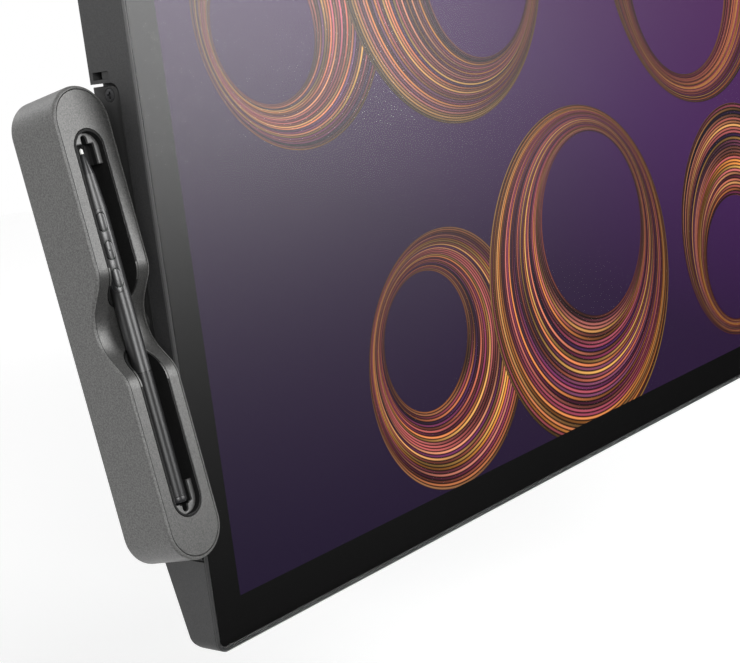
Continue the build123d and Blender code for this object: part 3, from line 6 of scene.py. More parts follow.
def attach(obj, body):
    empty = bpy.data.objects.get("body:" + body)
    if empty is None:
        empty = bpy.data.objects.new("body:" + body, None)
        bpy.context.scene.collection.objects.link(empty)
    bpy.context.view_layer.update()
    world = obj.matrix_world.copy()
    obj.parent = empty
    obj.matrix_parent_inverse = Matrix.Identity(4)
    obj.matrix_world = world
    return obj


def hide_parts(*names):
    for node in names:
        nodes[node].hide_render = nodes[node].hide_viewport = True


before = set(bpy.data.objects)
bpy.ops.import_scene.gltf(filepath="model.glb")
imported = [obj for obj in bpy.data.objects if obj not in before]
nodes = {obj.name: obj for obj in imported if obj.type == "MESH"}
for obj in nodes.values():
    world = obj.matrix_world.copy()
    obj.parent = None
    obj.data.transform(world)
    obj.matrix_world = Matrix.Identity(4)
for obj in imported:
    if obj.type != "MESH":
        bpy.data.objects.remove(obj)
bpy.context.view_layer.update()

# Camera: it stands to the left of the display, a little above its middle, and looks
# down along it, so that the tray is near and the screen runs away to the right. The
# lens is a short telephoto, worked out from the display's outline.
eye = Vector((-0.76141, -0.5081, 0.06019))
right = Vector((0.61949, -0.77527, -0.12328)).normalized()
ahead = Vector((0.75619, 0.63150, -0.17141)).normalized()
up = right.cross(ahead)
camera = bpy.data.objects.new("camera", bpy.data.cameras.new("camera"))
bpy.context.scene.collection.objects.link(camera)
camera.data.lens = 74.80
camera.data.sensor_width = 36.0
camera.data.clip_start = 0.01
camera.matrix_world = Matrix((
    (right.x, up.x, -ahead.x, eye.x),
    (right.y, up.y, -ahead.y, eye.y),
    (right.z, up.z, -ahead.z, eye.z),
    (0.0, 0.0, 0.0, 1.0),
))
bpy.context.scene.camera = camera
bpy.context.scene.view_settings.view_transform = "Standard"


# Studio floor: a wide round pale board well under the display, which hangs over it as on
# the arm that its bolt pattern is for. It glows a little where it is looked at, so that
# it runs into the white air behind it, and still takes the display's shadow.
def surface(name, colour, roughness, metallic=0.0, specular=0.5):
    """A new finish on one surface shader, with its plain values set."""
    material = bpy.data.materials.new(name)
    material.use_nodes = True
    shader = material.node_tree.nodes["Principled BSDF"]
    shader.inputs["Base Color"].default_value = (*colour, 1.0)
    shader.inputs["Roughness"].default_value = roughness
    shader.inputs["Metallic"].default_value = metallic
    shader.inputs["Specular IOR Level"].default_value = specular
    return material


def looked_at(tree, otherwise, seen):
    """A strength that is seen where a ray comes from the eye, a gloss or a glass."""
    path = tree.nodes.new("ShaderNodeLightPath")
    total = path.outputs["Is Camera Ray"]
    for kind in ("Is Glossy Ray", "Is Transmission Ray"):
        either = tree.nodes.new("ShaderNodeMath")
        either.operation = "MAXIMUM"
        tree.links.new(total, either.inputs[0])
        tree.links.new(path.outputs[kind], either.inputs[1])
        total = either.outputs[0]
    strength = tree.nodes.new("ShaderNodeMapRange")
    strength.inputs["To Min"].default_value = otherwise
    strength.inputs["To Max"].default_value = seen
    tree.links.new(total, strength.inputs["Value"])
    return strength.outputs["Result"]


floor_level = -0.46
floor_radius = 7.0
glow_start = 0.8
glow_end = 3.0
bpy.ops.object.select_all(action="DESELECT")
bpy.ops.mesh.primitive_circle_add(
    vertices=96, radius=floor_radius, fill_type="NGON", location=(0.0, 0.0, floor_level)
)
studio_floor = bpy.context.object
studio_floor.name = "studio_floor"
bpy.ops.object.transform_apply(location=True, rotation=True, scale=True)
floor_white = surface("floor_white", (0.86, 0.86, 0.86), 0.95, specular=0.1)
floor_tree = floor_white.node_tree
floor_shader = floor_tree.nodes["Principled BSDF"]
floor_shader.inputs["Emission Color"].default_value = (1.0, 1.0, 1.0, 1.0)
floor_place = floor_tree.nodes.new("ShaderNodeTexCoord")
floor_reach = floor_tree.nodes.new("ShaderNodeVectorMath")
floor_reach.operation = "LENGTH"
floor_tree.links.new(floor_place.outputs["Object"], floor_reach.inputs[0])
floor_glow = floor_tree.nodes.new("ShaderNodeMapRange")
floor_glow.inputs["From Min"].default_value = glow_start
floor_glow.inputs["From Max"].default_value = glow_end
floor_glow.inputs["To Min"].default_value = 0.34
floor_glow.inputs["To Max"].default_value = 0.82
floor_tree.links.new(floor_reach.outputs["Value"], floor_glow.inputs["Value"])
floor_seen = floor_tree.nodes.new("ShaderNodeMath")
floor_seen.operation = "MULTIPLY"
floor_tree.links.new(floor_glow.outputs["Result"], floor_seen.inputs[0])
floor_tree.links.new(looked_at(floor_tree, 0.0, 1.0), floor_seen.inputs[1])
floor_tree.links.new(floor_seen.outputs[0], floor_shader.inputs["Emission Strength"])
studio_floor.data.materials.append(floor_white)

# Air of the studio: white where it is looked at, also in gloss and glass, and a softer
# even light on everything else.
even_light = 0.14
world = bpy.data.worlds.new("studio_air")
bpy.context.scene.world = world
world.use_nodes = True
air = world.node_tree
air.nodes["Background"].inputs["Color"].default_value = (1.0, 1.0, 1.0, 1.0)
air.links.new(looked_at(air, even_light, 1.0), air.nodes["Background"].inputs["Strength"])

# Black flag: a dark cloth laid on the floor and hung round the front half of the studio,
# which only gloss can see, so that the screen and the pen mirror a dark room with soft
# lamps in it, as they do in a workroom.
flag_radius = 4.0
flag_inset = 3.96
flag_rim = 3.9
flag_height = 5.5
flag_above_floor = 0.005
flag_end = -0.03
bpy.ops.object.select_all(action="DESELECT")
bpy.ops.mesh.primitive_circle_add(
    vertices=64, radius=flag_radius, fill_type="NGON",
    location=(0.0, 0.0, floor_level + flag_above_floor),
)
black_flag = bpy.context.object
black_flag.name = "black_flag"
bpy.ops.object.transform_apply(location=True, rotation=True, scale=True)
bpy.ops.object.mode_set(mode="EDIT")
bpy.ops.mesh.select_all(action="SELECT")
bpy.ops.mesh.inset(thickness=flag_inset)
bpy.ops.mesh.delete(type="FACE")
bpy.ops.object.mode_set(mode="OBJECT")
for point in black_flag.data.vertices:
    point.select = point.co.xy.length > flag_rim
for edge in black_flag.data.edges:
    edge.select = all(black_flag.data.vertices[end].select for end in edge.vertices)
bpy.ops.object.mode_set(mode="EDIT")
bpy.ops.mesh.extrude_region_move(TRANSFORM_OT_translate={"value": (0.0, 0.0, flag_height)})
bpy.ops.mesh.select_all(action="SELECT")
bpy.ops.mesh.bisect(plane_co=(0.0, flag_end, 0.0), plane_no=(0.0, 1.0, 0.0), clear_outer=True)
bpy.ops.object.mode_set(mode="OBJECT")
black_flag.data.materials.append(surface("flag_black", (0.004, 0.004, 0.004), 1.0, specular=0.0))
black_flag.visible_camera = False
black_flag.visible_diffuse = False
black_flag.visible_transmission = False
black_flag.visible_volume_scatter = False
black_flag.visible_shadow = False


# Softboxes: large cloth-fronted lamps. The front one stands where the etched glass throws
# it back softly from the screen's upper left, the near one hangs over the camera and
# lights the pen, and the left and back ones light the tray's side and the back.
def softbox(name, place, aim, width, height, watts):
    """A rectangular lamp at place that faces aim."""
    lamp = bpy.data.lights.new(name, "AREA")
    lamp.shape = "RECTANGLE"
    lamp.size = width
    lamp.size_y = height
    lamp.energy = watts
    made = bpy.data.objects.new(name, lamp)
    bpy.context.scene.collection.objects.link(made)
    facing = (Vector(aim) - Vector(place)).to_track_quat("-Z", "Y")
    made.matrix_world = Matrix.Translation(Vector(place)) @ facing.to_matrix().to_4x4()


softbox("softbox_front", (1.00, -1.86, 0.82), (-0.30, 0.0, 0.15), 1.4, 1.6, 58)
softbox("softbox_near", (-1.36, -1.68, 0.66), (-0.33, 0.0, -0.03), 0.9, 1.3, 40)
softbox("softbox_left", (-1.85, 0.75, 0.70), (-0.33, 0.0, -0.03), 1.0, 1.0, 8)
softbox("softbox_back", (-0.50, 1.60, 1.40), (-0.20, 0.0, 0.0), 1.2, 1.2, 12)


# Rear housing and side cover: one deep tray of black ABS with its sockets, slot and
# pockets, and the blank that fills the right pocket. Both are injection moulded with a
# fine spark-eroded grain, and eight screws hold the housing to the inner frame.
def grained(material, size, dark, light, relief, rough_low, rough_high):
    """Adds a grain to a finish: cells of the given size vary its colour, gloss and relief."""
    tree = material.node_tree
    shader = tree.nodes["Principled BSDF"]
    place = tree.nodes.new("ShaderNodeTexCoord")
    grain = tree.nodes.new("ShaderNodeTexNoise")
    grain.inputs["Scale"].default_value = 1.0 / size
    grain.inputs["Detail"].default_value = 3.0
    grain.inputs["Roughness"].default_value = 0.6
    tree.links.new(place.outputs["Object"], grain.inputs["Vector"])
    drift = tree.nodes.new("ShaderNodeTexNoise")
    drift.inputs["Scale"].default_value = 9.0
    drift.inputs["Detail"].default_value = 2.0
    tree.links.new(place.outputs["Object"], drift.inputs["Vector"])
    tone = tree.nodes.new("ShaderNodeMapRange")
    tone.inputs["From Min"].default_value = 0.32
    tone.inputs["From Max"].default_value = 0.68
    tree.links.new(grain.outputs["Fac"], tone.inputs["Value"])
    colour = tree.nodes.new("ShaderNodeMix")
    colour.data_type = "RGBA"
    colour.inputs["A"].default_value = (*dark, 1.0)
    colour.inputs["B"].default_value = (*light, 1.0)
    tree.links.new(tone.outputs["Result"], colour.inputs["Factor"])
    tree.links.new(colour.outputs["Result"], shader.inputs["Base Color"])
    gloss = tree.nodes.new("ShaderNodeMapRange")
    gloss.inputs["From Min"].default_value = 0.3
    gloss.inputs["From Max"].default_value = 0.7
    gloss.inputs["To Min"].default_value = rough_low
    gloss.inputs["To Max"].default_value = rough_high
    tree.links.new(drift.outputs["Fac"], gloss.inputs["Value"])
    tree.links.new(gloss.outputs["Result"], shader.inputs["Roughness"])
    bump = tree.nodes.new("ShaderNodeBump")
    bump.inputs["Strength"].default_value = 0.6
    bump.inputs["Distance"].default_value = relief
    tree.links.new(grain.outputs["Fac"], bump.inputs["Height"])
    tree.links.new(bump.outputs["Normal"], shader.inputs["Normal"])
    return material


def paint(material, *names):
    """Gives each named CAD node this finish in place of the one that it came with."""
    for name in names:
        nodes[name].data.materials.clear()
        nodes[name].data.materials.append(material)


housing_black = grained(
    surface("housing_black", (0.03, 0.03, 0.03), 0.5, specular=0.45),
    0.0006, (0.014, 0.014, 0.015), (0.032, 0.032, 0.032), 0.00006, 0.46, 0.58,
)
paint(housing_black, "rear_housing", "side_cover")

# Front trim: a narrow ring of the same plastic round the glass, clipped to the housing
# with a dark seam behind it, and polished smoother so that its bevels catch the light.
trim_black = grained(
    surface("trim_black", (0.03, 0.03, 0.03), 0.35),
    0.0009, (0.026, 0.026, 0.027), (0.038, 0.038, 0.038), 0.00002, 0.30, 0.38,
)
paint(trim_black, "front_trim")


# Cover glass: one sheet of clear glass from edge to edge, etched on its face so that it
# drags like paper under the pen and spreads what it mirrors into a soft glow. Its back
# is bonded to the screen with clear glue, so nothing is mirrored there.
def rounded(name, source, finish, width, sharp=28):
    """A merged copy of a CAD node whose sharp edges are rounded as its mould leaves them."""
    merge_distance = 0.000001
    flat_angle = radians(1.5)
    smooth_angle = radians(32)
    bpy.ops.object.select_all(action="DESELECT")
    made = bpy.data.objects.new(name, nodes[source].data.copy())
    bpy.context.scene.collection.objects.link(made)
    bpy.context.view_layer.objects.active = made
    made.select_set(True)
    bpy.ops.object.mode_set(mode="EDIT")
    bpy.ops.mesh.select_all(action="SELECT")
    bpy.ops.mesh.remove_doubles(threshold=merge_distance)
    bpy.ops.mesh.dissolve_limited(angle_limit=flat_angle)
    bpy.ops.object.mode_set(mode="OBJECT")
    rounding = made.modifiers.new("rounding", "BEVEL")
    rounding.width = width
    rounding.segments = 3
    rounding.limit_method = "ANGLE"
    rounding.angle_limit = radians(sharp)
    bpy.ops.object.modifier_apply(modifier="rounding")
    bpy.ops.object.shade_smooth_by_angle(angle=smooth_angle)
    made.data.materials.clear()
    made.data.materials.append(finish)
    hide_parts(source)
    return made


etched_glass = surface("etched_glass", (0.985, 0.99, 0.99), 0.0, specular=0.0)
glass_tree = etched_glass.node_tree
glass_shader = glass_tree.nodes["Principled BSDF"]
glass_shader.inputs["IOR"].default_value = 1.02
glass_shader.inputs["Transmission Weight"].default_value = 1.0
glass_shader.inputs["Coat Roughness"].default_value = 0.36
glass_shader.inputs["Coat IOR"].default_value = 1.5
glass_place = glass_tree.nodes.new("ShaderNodeTexCoord")
etch = glass_tree.nodes.new("ShaderNodeTexNoise")
etch.inputs["Scale"].default_value = 3300.0
glass_tree.links.new(glass_place.outputs["Object"], etch.inputs["Vector"])
etch_depth = glass_tree.nodes.new("ShaderNodeMapRange")
etch_depth.inputs["To Min"].default_value = 0.92
etch_depth.inputs["To Max"].default_value = 1.0
glass_tree.links.new(etch.outputs["Fac"], etch_depth.inputs["Value"])
glass_tree.links.new(etch_depth.outputs["Result"], glass_shader.inputs["Coat Weight"])
bonded_back = surface("bonded_back", (0.985, 0.99, 0.99), 0.0, specular=0.0)
back_shader = bonded_back.node_tree.nodes["Principled BSDF"]
back_shader.inputs["IOR"].default_value = 1.02
back_shader.inputs["Transmission Weight"].default_value = 1.0
glass_sheet = rounded("glass_sheet", "cover_glass", etched_glass, 0.00006)
glass_sheet.data.materials.append(bonded_back)
turned_back = 0.9
for face in glass_sheet.data.polygons:
    if face.normal.y > turned_back:
        face.material_index = 1
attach(glass_sheet, "display")

# Black border: ink screen-printed on the back of the glass, in two passes, which leave it
# very slightly uneven in gloss.
ink_black = grained(
    surface("ink_black", (0.004, 0.004, 0.004), 0.6, specular=0.0),
    0.0004, (0.003, 0.003, 0.003), (0.0045, 0.0045, 0.0045), 0.000004, 0.55, 0.62,
)
paint(ink_black, "border_print")


# Screen panel: a sheet of liquid crystal between two glass plates, lit from behind. It
# shows a plain pattern of striped rings on a violet ground. The stripes are drawn in
# the finish, each with a tone and a glint of its own.
def maths(tree, operation, first, second=None, third=None):
    """One sum on sockets or plain numbers, whose result is a socket."""
    made = tree.nodes.new("ShaderNodeMath")
    made.operation = operation
    for place, value in enumerate((first, second, third)):
        if value is None:
            continue
        if isinstance(value, (int, float)):
            made.inputs[place].default_value = value
        else:
            tree.links.new(value, made.inputs[place])
    return made.outputs[0]


def ramp(tree, factor, stops):
    """A colour ramp over factor, from pairs of place and colour."""
    made = tree.nodes.new("ShaderNodeValToRGB")
    bands = made.color_ramp.elements
    bands[0].position, bands[0].color = stops[0][0], (*stops[0][1], 1.0)
    bands[1].position, bands[1].color = stops[-1][0], (*stops[-1][1], 1.0)
    for place, colour in stops[1:-1]:
        band = bands.new(place)
        band.color = (*colour, 1.0)
    tree.links.new(factor, made.inputs["Fac"])
    return made.outputs["Color"]


def blend(tree, factor, below, above):
    """Lays one colour over another by factor."""
    made = tree.nodes.new("ShaderNodeMix")
    made.data_type = "RGBA"
    tree.links.new(factor, made.inputs["Factor"])
    tree.links.new(below, made.inputs["A"])
    tree.links.new(above, made.inputs["B"])
    return made.outputs["Result"]


picture = surface("picture", (0.0, 0.0, 0.0), 0.5, specular=0.0)
tree = picture.node_tree
place = tree.nodes.new("ShaderNodeTexCoord")
parts = tree.nodes.new("ShaderNodeSeparateXYZ")
tree.links.new(place.outputs["Object"], parts.inputs[0])
across_screen, up_screen = parts.outputs["X"], parts.outputs["Z"]
slope = maths(tree, "ADD", maths(tree, "MULTIPLY", across_screen, 0.75),
              maths(tree, "MULTIPLY", up_screen, 1.9))
ground = ramp(tree, maths(tree, "ADD", slope, 0.50), [
    (0.0, (0.012, 0.005, 0.026)),
    (0.35, (0.024, 0.008, 0.042)),
    (0.6, (0.060, 0.012, 0.098)),
    (0.85, (0.085, 0.017, 0.112)),
    (1.0, (0.060, 0.015, 0.070)),
])
strand_colours = [
    (0.0, (0.050, 0.015, 0.090)),
    (0.16, (0.36, 0.050, 0.120)),
    (0.32, (0.70, 0.17, 0.10)),
    (0.48, (1.0, 0.36, 0.060)),
    (0.62, (0.62, 0.12, 0.18)),
    (0.78, (1.0, 0.52, 0.12)),
    (0.90, (0.46, 0.10, 0.090)),
    (1.0, (0.10, 0.040, 0.16)),
]
# Each ring: middle across and up, radius, band width, number of strands, and turn of its shading
rings = [
    (0.182, 0.105, 0.088, 0.048, 36, 0.6),
    (-0.130, -0.092, 0.052, 0.034, 26, 2.2),
    (-0.222, 0.086, 0.050, 0.032, 25, 1.2),
    (0.030, -0.066, 0.078, 0.046, 34, 3.6),
    (-0.070, 0.110, 0.070, 0.042, 32, 5.0),
    (0.226, -0.092, 0.062, 0.038, 29, 0.2),
]
band_swell = 0.70
edge_sharpness = 2.5
strand_shift = 7.0
groove_depth = -4.4
groove_curve = 1.6
glint_spread = 40.0
colour = ground
for count, (x, z, radius, width, strands, turn) in enumerate(rings):
    dx = maths(tree, "SUBTRACT", across_screen, x)
    dz = maths(tree, "SUBTRACT", up_screen, z)
    squared = maths(tree, "ADD", maths(tree, "MULTIPLY", dx, dx), maths(tree, "MULTIPLY", dz, dz))
    reach = maths(tree, "SQRT", squared)
    angle = maths(tree, "ARCTAN2", dz, dx)
    swell = maths(tree, "MULTIPLY_ADD", maths(tree, "SINE", maths(tree, "ADD", angle, turn)), band_swell, 1.0)
    half = maths(tree, "MULTIPLY", swell, width / 2)
    band = maths(tree, "DIVIDE", maths(tree, "SUBTRACT", reach, radius), half)
    edge = maths(tree, "SUBTRACT", 1.0, maths(tree, "ABSOLUTE", band))
    mask = maths(tree, "MULTIPLY", edge, strands * edge_sharpness)
    mask = maths(tree, "MINIMUM", maths(tree, "MAXIMUM", mask, 0.0), 1.0)
    track = maths(tree, "MULTIPLY", maths(tree, "ADD", band, 3.0 + count * strand_shift), strands * 0.5)
    strand = maths(tree, "FLOOR", track)
    chance = tree.nodes.new("ShaderNodeTexWhiteNoise")
    chance.noise_dimensions = "1D"
    tree.links.new(strand, chance.inputs["W"])
    inks = ramp(tree, chance.outputs["Value"], strand_colours)
    middle = maths(tree, "SUBTRACT", maths(tree, "FRACT", track), 0.5)
    groove = maths(tree, "MULTIPLY_ADD", maths(tree, "MULTIPLY", middle, middle), groove_depth, 1.0)
    groove = maths(tree, "POWER", maths(tree, "MAXIMUM", groove, 0.0), groove_curve)
    phase = maths(tree, "MULTIPLY", chance.outputs["Value"], glint_spread)
    glint = maths(tree, "ADD", maths(tree, "MULTIPLY_ADD", angle, 2.0, turn), phase)
    glint = maths(tree, "MULTIPLY_ADD", maths(tree, "SINE", glint), 0.5, 0.5)
    lift = maths(tree, "MULTIPLY_ADD", maths(tree, "SINE", maths(tree, "ADD", angle, turn + 0.5)), 0.35, 0.65)
    light = maths(tree, "MULTIPLY_ADD", maths(tree, "MULTIPLY", glint, lift), 1.2, 0.22)
    bulge = maths(tree, "SUBTRACT", 1.06, maths(tree, "MULTIPLY", band, band))
    roundness = maths(tree, "MAXIMUM", bulge, 0.0)
    light = maths(tree, "MULTIPLY", maths(tree, "MULTIPLY", light, groove), maths(tree, "SQRT", roundness))
    lit = tree.nodes.new("ShaderNodeVectorMath")
    lit.operation = "SCALE"
    tree.links.new(inks, lit.inputs[0])
    tree.links.new(light, lit.inputs["Scale"])
    colour = blend(tree, mask, colour, lit.outputs[0])
screen_shader = tree.nodes["Principled BSDF"]
tree.links.new(colour, screen_shader.inputs["Emission Color"])
screen_shader.inputs["Emission Strength"].default_value = 1.0
paint(picture, "screen_panel")

# Layers behind the glass: the foam gasket that keeps dust out, the moulded frame that
# every layer sits in, the white films and light guide that spread the lamp strip's light,
# and the folded steel pan behind them.
foam_black = grained(
    surface("foam_black", (0.03, 0.03, 0.03), 0.9),
    0.0008, (0.020, 0.020, 0.020), (0.045, 0.045, 0.045), 0.00015, 0.85, 0.95,
)
paint(foam_black, "glass_gasket")
block_black = grained(
    surface("block_black", (0.03, 0.03, 0.03), 0.55),
    0.0006, (0.022, 0.022, 0.023), (0.036, 0.036, 0.037), 0.00003, 0.48, 0.60,
)
paint(block_black, "inner_frame")
film_white = grained(
    surface("film_white", (0.85, 0.86, 0.85), 0.4),
    0.0030, (0.80, 0.81, 0.80), (0.88, 0.88, 0.87), 0.00001, 0.34, 0.42,
)
paint(film_white, "film_stack", "light_guide", "lamp_bar")
plated_steel = grained(
    surface("plated_steel", (0.5, 0.5, 0.5), 0.35, metallic=1.0),
    0.0020, (0.44, 0.44, 0.43), (0.58, 0.58, 0.57), 0.00001, 0.28, 0.42,
)
paint(plated_steel, "backlight_pan", "chassis_plate")

# Circuit boards: glass cloth and resin under green solder mask, with black moulded chips,
# brass spacers, a soft pad and an aluminium plate that carries the heat away.
board_green = grained(
    surface("board_green", (0.02, 0.12, 0.06), 0.35),
    0.0012, (0.012, 0.085, 0.045), (0.022, 0.125, 0.065), 0.00002, 0.28, 0.36,
)
paint(board_green, "main_board", "driver_board", "port_board", "sensor_board", "switch_board")
paint(block_black, "board_chips", "power_switch")
brass = grained(
    surface("brass", (0.6, 0.45, 0.22), 0.3, metallic=1.0),
    0.0015, (0.55, 0.40, 0.19), (0.68, 0.51, 0.26), 0.00001, 0.24, 0.36,
)
paint(brass, "board_spacers")
pad_blue = grained(
    surface("pad_blue", (0.25, 0.35, 0.42), 0.8),
    0.0010, (0.20, 0.29, 0.36), (0.28, 0.37, 0.44), 0.00008, 0.72, 0.84,
)
paint(pad_blue, "thermal_pad")
plain_aluminium = grained(
    surface("plain_aluminium", (0.7, 0.7, 0.71), 0.35, metallic=1.0),
    0.0020, (0.64, 0.65, 0.66), (0.76, 0.77, 0.78), 0.00001, 0.30, 0.42,
)
paint(plain_aluminium, "heat_spreader")

# Screws: steel, blackened, with pressed cross recesses. They hold the boards, the frame,
# the side parts and the tray's back.
screw_black = grained(
    surface("screw_black", (0.05, 0.05, 0.05), 0.35, metallic=0.9),
    0.0008, (0.050, 0.050, 0.052), (0.085, 0.085, 0.088), 0.00001, 0.28, 0.40,
)
paint(screw_black, "side_screws", "frame_screws", "board_screws", "tray_back_screws")

# Bolt plate and bushes: a steel plate with four turned brass bushes pressed in, which
# takes the bolts of a monitor arm. The plate is plated, with a faint rolled grain.
paint(plated_steel, "bolt_plate")
paint(brass, "bolt_bushes")


# Sockets in the bay at the back: folded steel shells for the two data plugs and the
# picture plug, each with a black tongue inside, and a moulded round power socket.
# They are soldered to their board and face down.
bay_ceiling = -0.1120
socket_row = -0.0072
tongue_inset = 0.0010
tongue_height = 0.0062


def tongue(name, across, width, depth):
    """A black contact tongue in the middle of a socket, with its edges rounded."""
    bpy.ops.object.select_all(action="DESELECT")
    bpy.ops.mesh.primitive_cube_add(
        size=1.0, location=(across, socket_row, bay_ceiling + tongue_inset + tongue_height / 2),
        scale=(width, depth, tongue_height),
    )
    made = bpy.context.object
    made.name = name
    bpy.ops.object.transform_apply(location=True, rotation=True, scale=True)
    bpy.ops.object.mode_set(mode="EDIT")
    bpy.ops.mesh.select_all(action="SELECT")
    bpy.ops.mesh.bevel(offset=depth / 4, segments=2, affect="EDGES")
    bpy.ops.object.mode_set(mode="OBJECT")
    made.data.materials.append(block_black)
    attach(made, "display")


paint(plated_steel, "usb_sockets", "video_socket")
paint(block_black, "power_socket")
tongue("data_tongue_left", 0.1240, 0.0069, 0.0011)
tongue("data_tongue_right", 0.1440, 0.0069, 0.0011)
tongue("picture_tongue", 0.1020, 0.0113, 0.0019)

# Power button: a small black cap in the top edge, moulded with its flange and stem. Its
# rim is rounded where a finger meets it.
button_cap = rounded("power_cap", "power_button", trim_black, 0.00035)
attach(button_cap, "power_button")

# Tray bracket: a cast arm screwed into the left pocket of the housing, its foot let into
# the side wall, near-black in colour, a little darker than the housing, matt, with soft
# edges. It carries the tray's hinge pin. A small grey plate closes the shallow end of the
# lock slot above it.
bracket_dark = grained(
    surface("bracket_dark", (0.02, 0.02, 0.02), 0.5, specular=0.35),
    0.0005, (0.011, 0.011, 0.011), (0.019, 0.019, 0.019), 0.00004, 0.42, 0.52,
)
bracket = rounded("bracket_cast", "tray_bracket", bracket_dark, 0.0003)
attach(bracket, "display")
slot_grey = grained(
    surface("slot_grey", (0.05, 0.05, 0.05), 0.6, specular=0.3),
    0.0005, (0.030, 0.030, 0.030), (0.048, 0.048, 0.048), 0.00003, 0.55, 0.65,
)
paint(slot_grey, "lock_slot_tab")

# Hinge of the tray: a turned steel pin fixed in the bracket, with a thin bored plate, a
# washer and a nut inside the tray, plain plated steel throughout.
paint(plated_steel, "hinge_plate", "hinge_nut", "hinge_pin", "hinge_washer")

# Tray shell and back: grey ABS with a speckle moulded in and a soft sheen. The shell is
# a trough with rounded ends, and its back is screwed on.
tray_grey = grained(
    surface("tray_grey", (0.12, 0.12, 0.12), 0.5),
    0.0007, (0.040, 0.040, 0.039), (0.116, 0.115, 0.112), 0.00007, 0.42, 0.50,
)
paint(tray_grey, "tray_shell", "tray_back")

# Tray face: a thin cover clipped into the shell's front, finished in a fine metallic
# paint that is brighter than the shell, with the finger saddle dished across it.
face_grey = grained(
    surface("face_grey", (0.2, 0.2, 0.2), 0.45, metallic=0.6),
    0.0006, (0.048, 0.048, 0.047), (0.096, 0.095, 0.093), 0.00003, 0.36, 0.44,
)
paint(face_grey, "tray_face")

# Tray liner: the black moulded trough that the pen lies in, matt inside. Its black is set darker
# than the plastic's own, so that it carries painted shade in the wells as well as its colour.
# The top of each well's edge, where it stands in the face's opening as a thin rim and faces out,
# is given the face's grey.
tilt = radians(10.2)
tray_middle = Vector((-0.33435, -0.0070, -0.03856))
tray_along = Vector((0.0, sin(tilt), cos(tilt)))
tray_out = Vector((0.0, -cos(tilt), sin(tilt)))
# Painted shade: the liner's black is darker than black plastic, to stand in for the wells' shade.
liner_black = grained(
    surface("liner_black", (0.02, 0.02, 0.02), 0.6, specular=0.2),
    0.0006, (0.003, 0.003, 0.003), (0.008, 0.008, 0.008), 0.00004, 0.55, 0.68,
)
liner = rounded("liner_trough", "tray_liner", liner_black, 0.00008, sharp=40)
liner.data.materials.append(face_grey)
well_middle = 0.0464
well_half_run = 0.0294
rim_inside = 0.0070
rim_outside = 0.0082
rim_level = 0.018
rim_facing = 0.6
for face in liner.data.polygons:
    seat = face.center - tray_middle
    beyond = max(abs(abs(seat.dot(tray_along)) - well_middle) - well_half_run, 0.0)
    from_line = (seat.x ** 2 + beyond ** 2) ** 0.5
    on_rim = rim_inside < from_line < rim_outside and seat.dot(tray_out) > rim_level
    if on_rim and face.normal.dot(tray_out) > rim_facing:
        face.material_index = 1
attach(liner, "tray")

# Cradles: two thin ledges glued on the liner's end blocks, finished like the face, with a
# notch that the pen's ends rest in and a narrow key slot.
cradle_grey = grained(
    surface("cradle_grey", (0.2, 0.2, 0.2), 0.45, metallic=0.5),
    0.0006, (0.080, 0.080, 0.079), (0.120, 0.119, 0.118), 0.00003, 0.38, 0.46,
)
paint(cradle_grey, "cradle_upper", "cradle_lower")

# Nib rack: a small block inside the tray's back that holds spare nylon nibs upright in
# drilled holes. The nibs are drawn nylon with rounded points.
# The nib rack takes the liner's black, which is darkened with painted shade.
paint(liner_black, "nib_rack")
nib_white = grained(
    surface("nib_white", (0.8, 0.8, 0.78), 0.45),
    0.0005, (0.60, 0.60, 0.58), (0.72, 0.72, 0.70), 0.00001, 0.40, 0.50,
)
paint(nib_white, "spare_nibs")

# Pen barrel and rear barrel: two moulded tubes joined over an inner sleeve, with a thin
# ring between them. The front one has a soft black coat that feels like rubber, and the
# rear one is harder and a little darker.
grip_black = grained(
    surface("grip_black", (0.02, 0.02, 0.02), 0.38, specular=0.75),
    0.0004, (0.009, 0.009, 0.009), (0.015, 0.015, 0.016), 0.00001, 0.35, 0.41,
)
paint(grip_black, "pen_barrel", "pen_sleeve")
tail_black = grained(
    surface("tail_black", (0.02, 0.02, 0.02), 0.38, specular=0.5),
    0.0004, (0.008, 0.008, 0.008), (0.013, 0.013, 0.014), 0.00001, 0.33, 0.39,
)
paint(tail_black, "pen_rear_barrel")

# Pen ring, end plug and nose: harder black plastic, turned smooth. The plug closes the
# tail with a rounded rim, and the nose unscrews to change the nib.
pen_black = grained(
    surface("pen_black", (0.02, 0.02, 0.02), 0.3, specular=0.4),
    0.0008, (0.016, 0.016, 0.017), (0.022, 0.022, 0.023), 0.000006, 0.24, 0.32,
)
paint(pen_black, "pen_ring")
end_plug = rounded("end_plug_turned", "pen_end_plug", pen_black, 0.0006)
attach(end_plug, "pen")
nose = rounded("nose_turned", "pen_nose", pen_black, 0.00015)
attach(nose, "pen")

# Pen nib: one nylon rod with a worn round tip, pushed into the pen's core from the front.
# It moves in by half a millimetre, and is pulled out and replaced when it is worn.
nib = rounded("nib_turned", "pen_nib", nib_white, 0.00015)
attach(nib, "pen_nib")


# Switch plate and buttons: a satin black plate let into the barrel, and three moulded
# caps that stand a little proud of it, each crowned and rounded all round, with a dark
# groove about it. The middle one has a small raised dot, so that the finger finds it.
def middle_of(points):
    """The mean place of a mesh's points."""
    return sum((point.co for point in points), Vector()) / len(points)


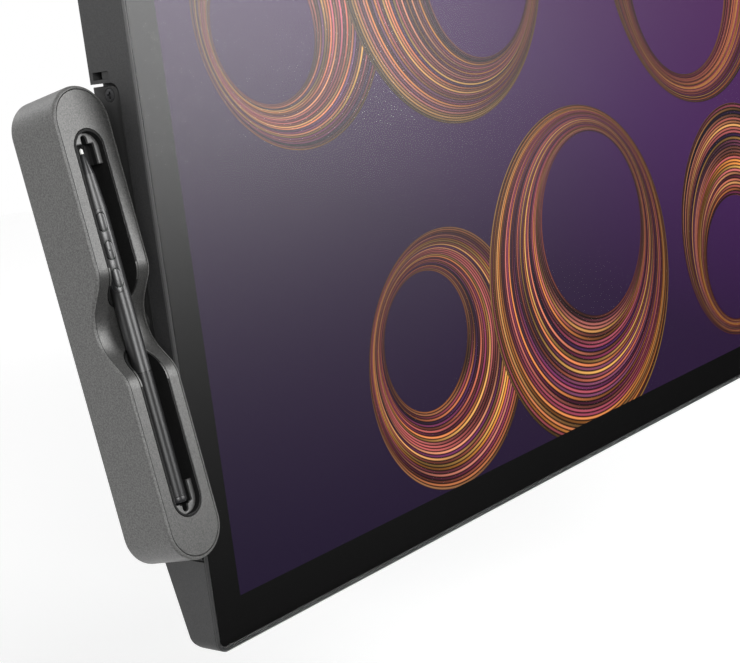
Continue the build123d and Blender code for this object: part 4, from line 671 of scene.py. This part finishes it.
button_black = grained(
    surface("button_black", (0.02, 0.02, 0.02), 0.36, specular=0.85),
    0.0006, (0.010, 0.010, 0.010), (0.017, 0.017, 0.018), 0.000006, 0.33, 0.39,
)
plate = rounded("switch_plate_satin", "switch_plate", button_black, 0.00012)
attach(plate, "pen")
cap_share = 0.94
for spot in ("upper", "middle", "lower"):
    cap = rounded("cap_" + spot, "pen_button_" + spot, button_black, 0.00028)
    cap_centre = middle_of(cap.data.vertices)
    bpy.ops.object.mode_set(mode="EDIT")
    bpy.ops.mesh.select_all(action="SELECT")
    bpy.ops.transform.resize(value=(cap_share, cap_share, cap_share), center_override=cap_centre)
    bpy.ops.object.mode_set(mode="OBJECT")
    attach(cap, "pen_button_" + spot)
pen_roll = radians(33.0)
button_up = Vector((-sin(pen_roll), -cos(tilt) * cos(pen_roll), sin(tilt) * cos(pen_roll)))
middle_cap = bpy.data.objects["cap_middle"].data.vertices
cap_centre = middle_of(middle_cap)
cap_top = max((point.co - cap_centre).dot(button_up) for point in middle_cap)
dot_radius = 0.00055
dot_sink = 0.00040
dot_cut = 0.00045
dot_merge = 0.0000001
bpy.ops.object.select_all(action="DESELECT")
bpy.ops.mesh.primitive_uv_sphere_add(
    segments=24, ring_count=12, radius=dot_radius,
    location=cap_centre + button_up * (cap_top - dot_sink),
)
finger_dot = bpy.context.object
finger_dot.name = "finger_dot"
bpy.ops.object.transform_apply(location=True, rotation=True, scale=True)
bpy.ops.object.mode_set(mode="EDIT")
bpy.ops.mesh.select_all(action="SELECT")
bpy.ops.mesh.bisect(
    plane_co=cap_centre + button_up * (cap_top - dot_cut), plane_no=button_up,
    use_fill=True, clear_inner=True, threshold=dot_merge,
)
bpy.ops.object.mode_set(mode="OBJECT")
bpy.ops.object.shade_smooth_by_angle(angle=radians(50))
finger_dot.data.materials.append(button_black)
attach(finger_dot, "pen_button_middle")

# Core of the pen: a coil of enamelled copper wire on a ferrite round the nib, and a narrow
# board that carries the switches under the buttons.
coil_copper = grained(
    surface("coil_copper", (0.6, 0.28, 0.14), 0.35, metallic=0.9),
    0.0004, (0.46, 0.20, 0.10), (0.66, 0.32, 0.17), 0.00006, 0.28, 0.40,
)
paint(coil_copper, "pen_coil")
paint(board_green, "pen_board")
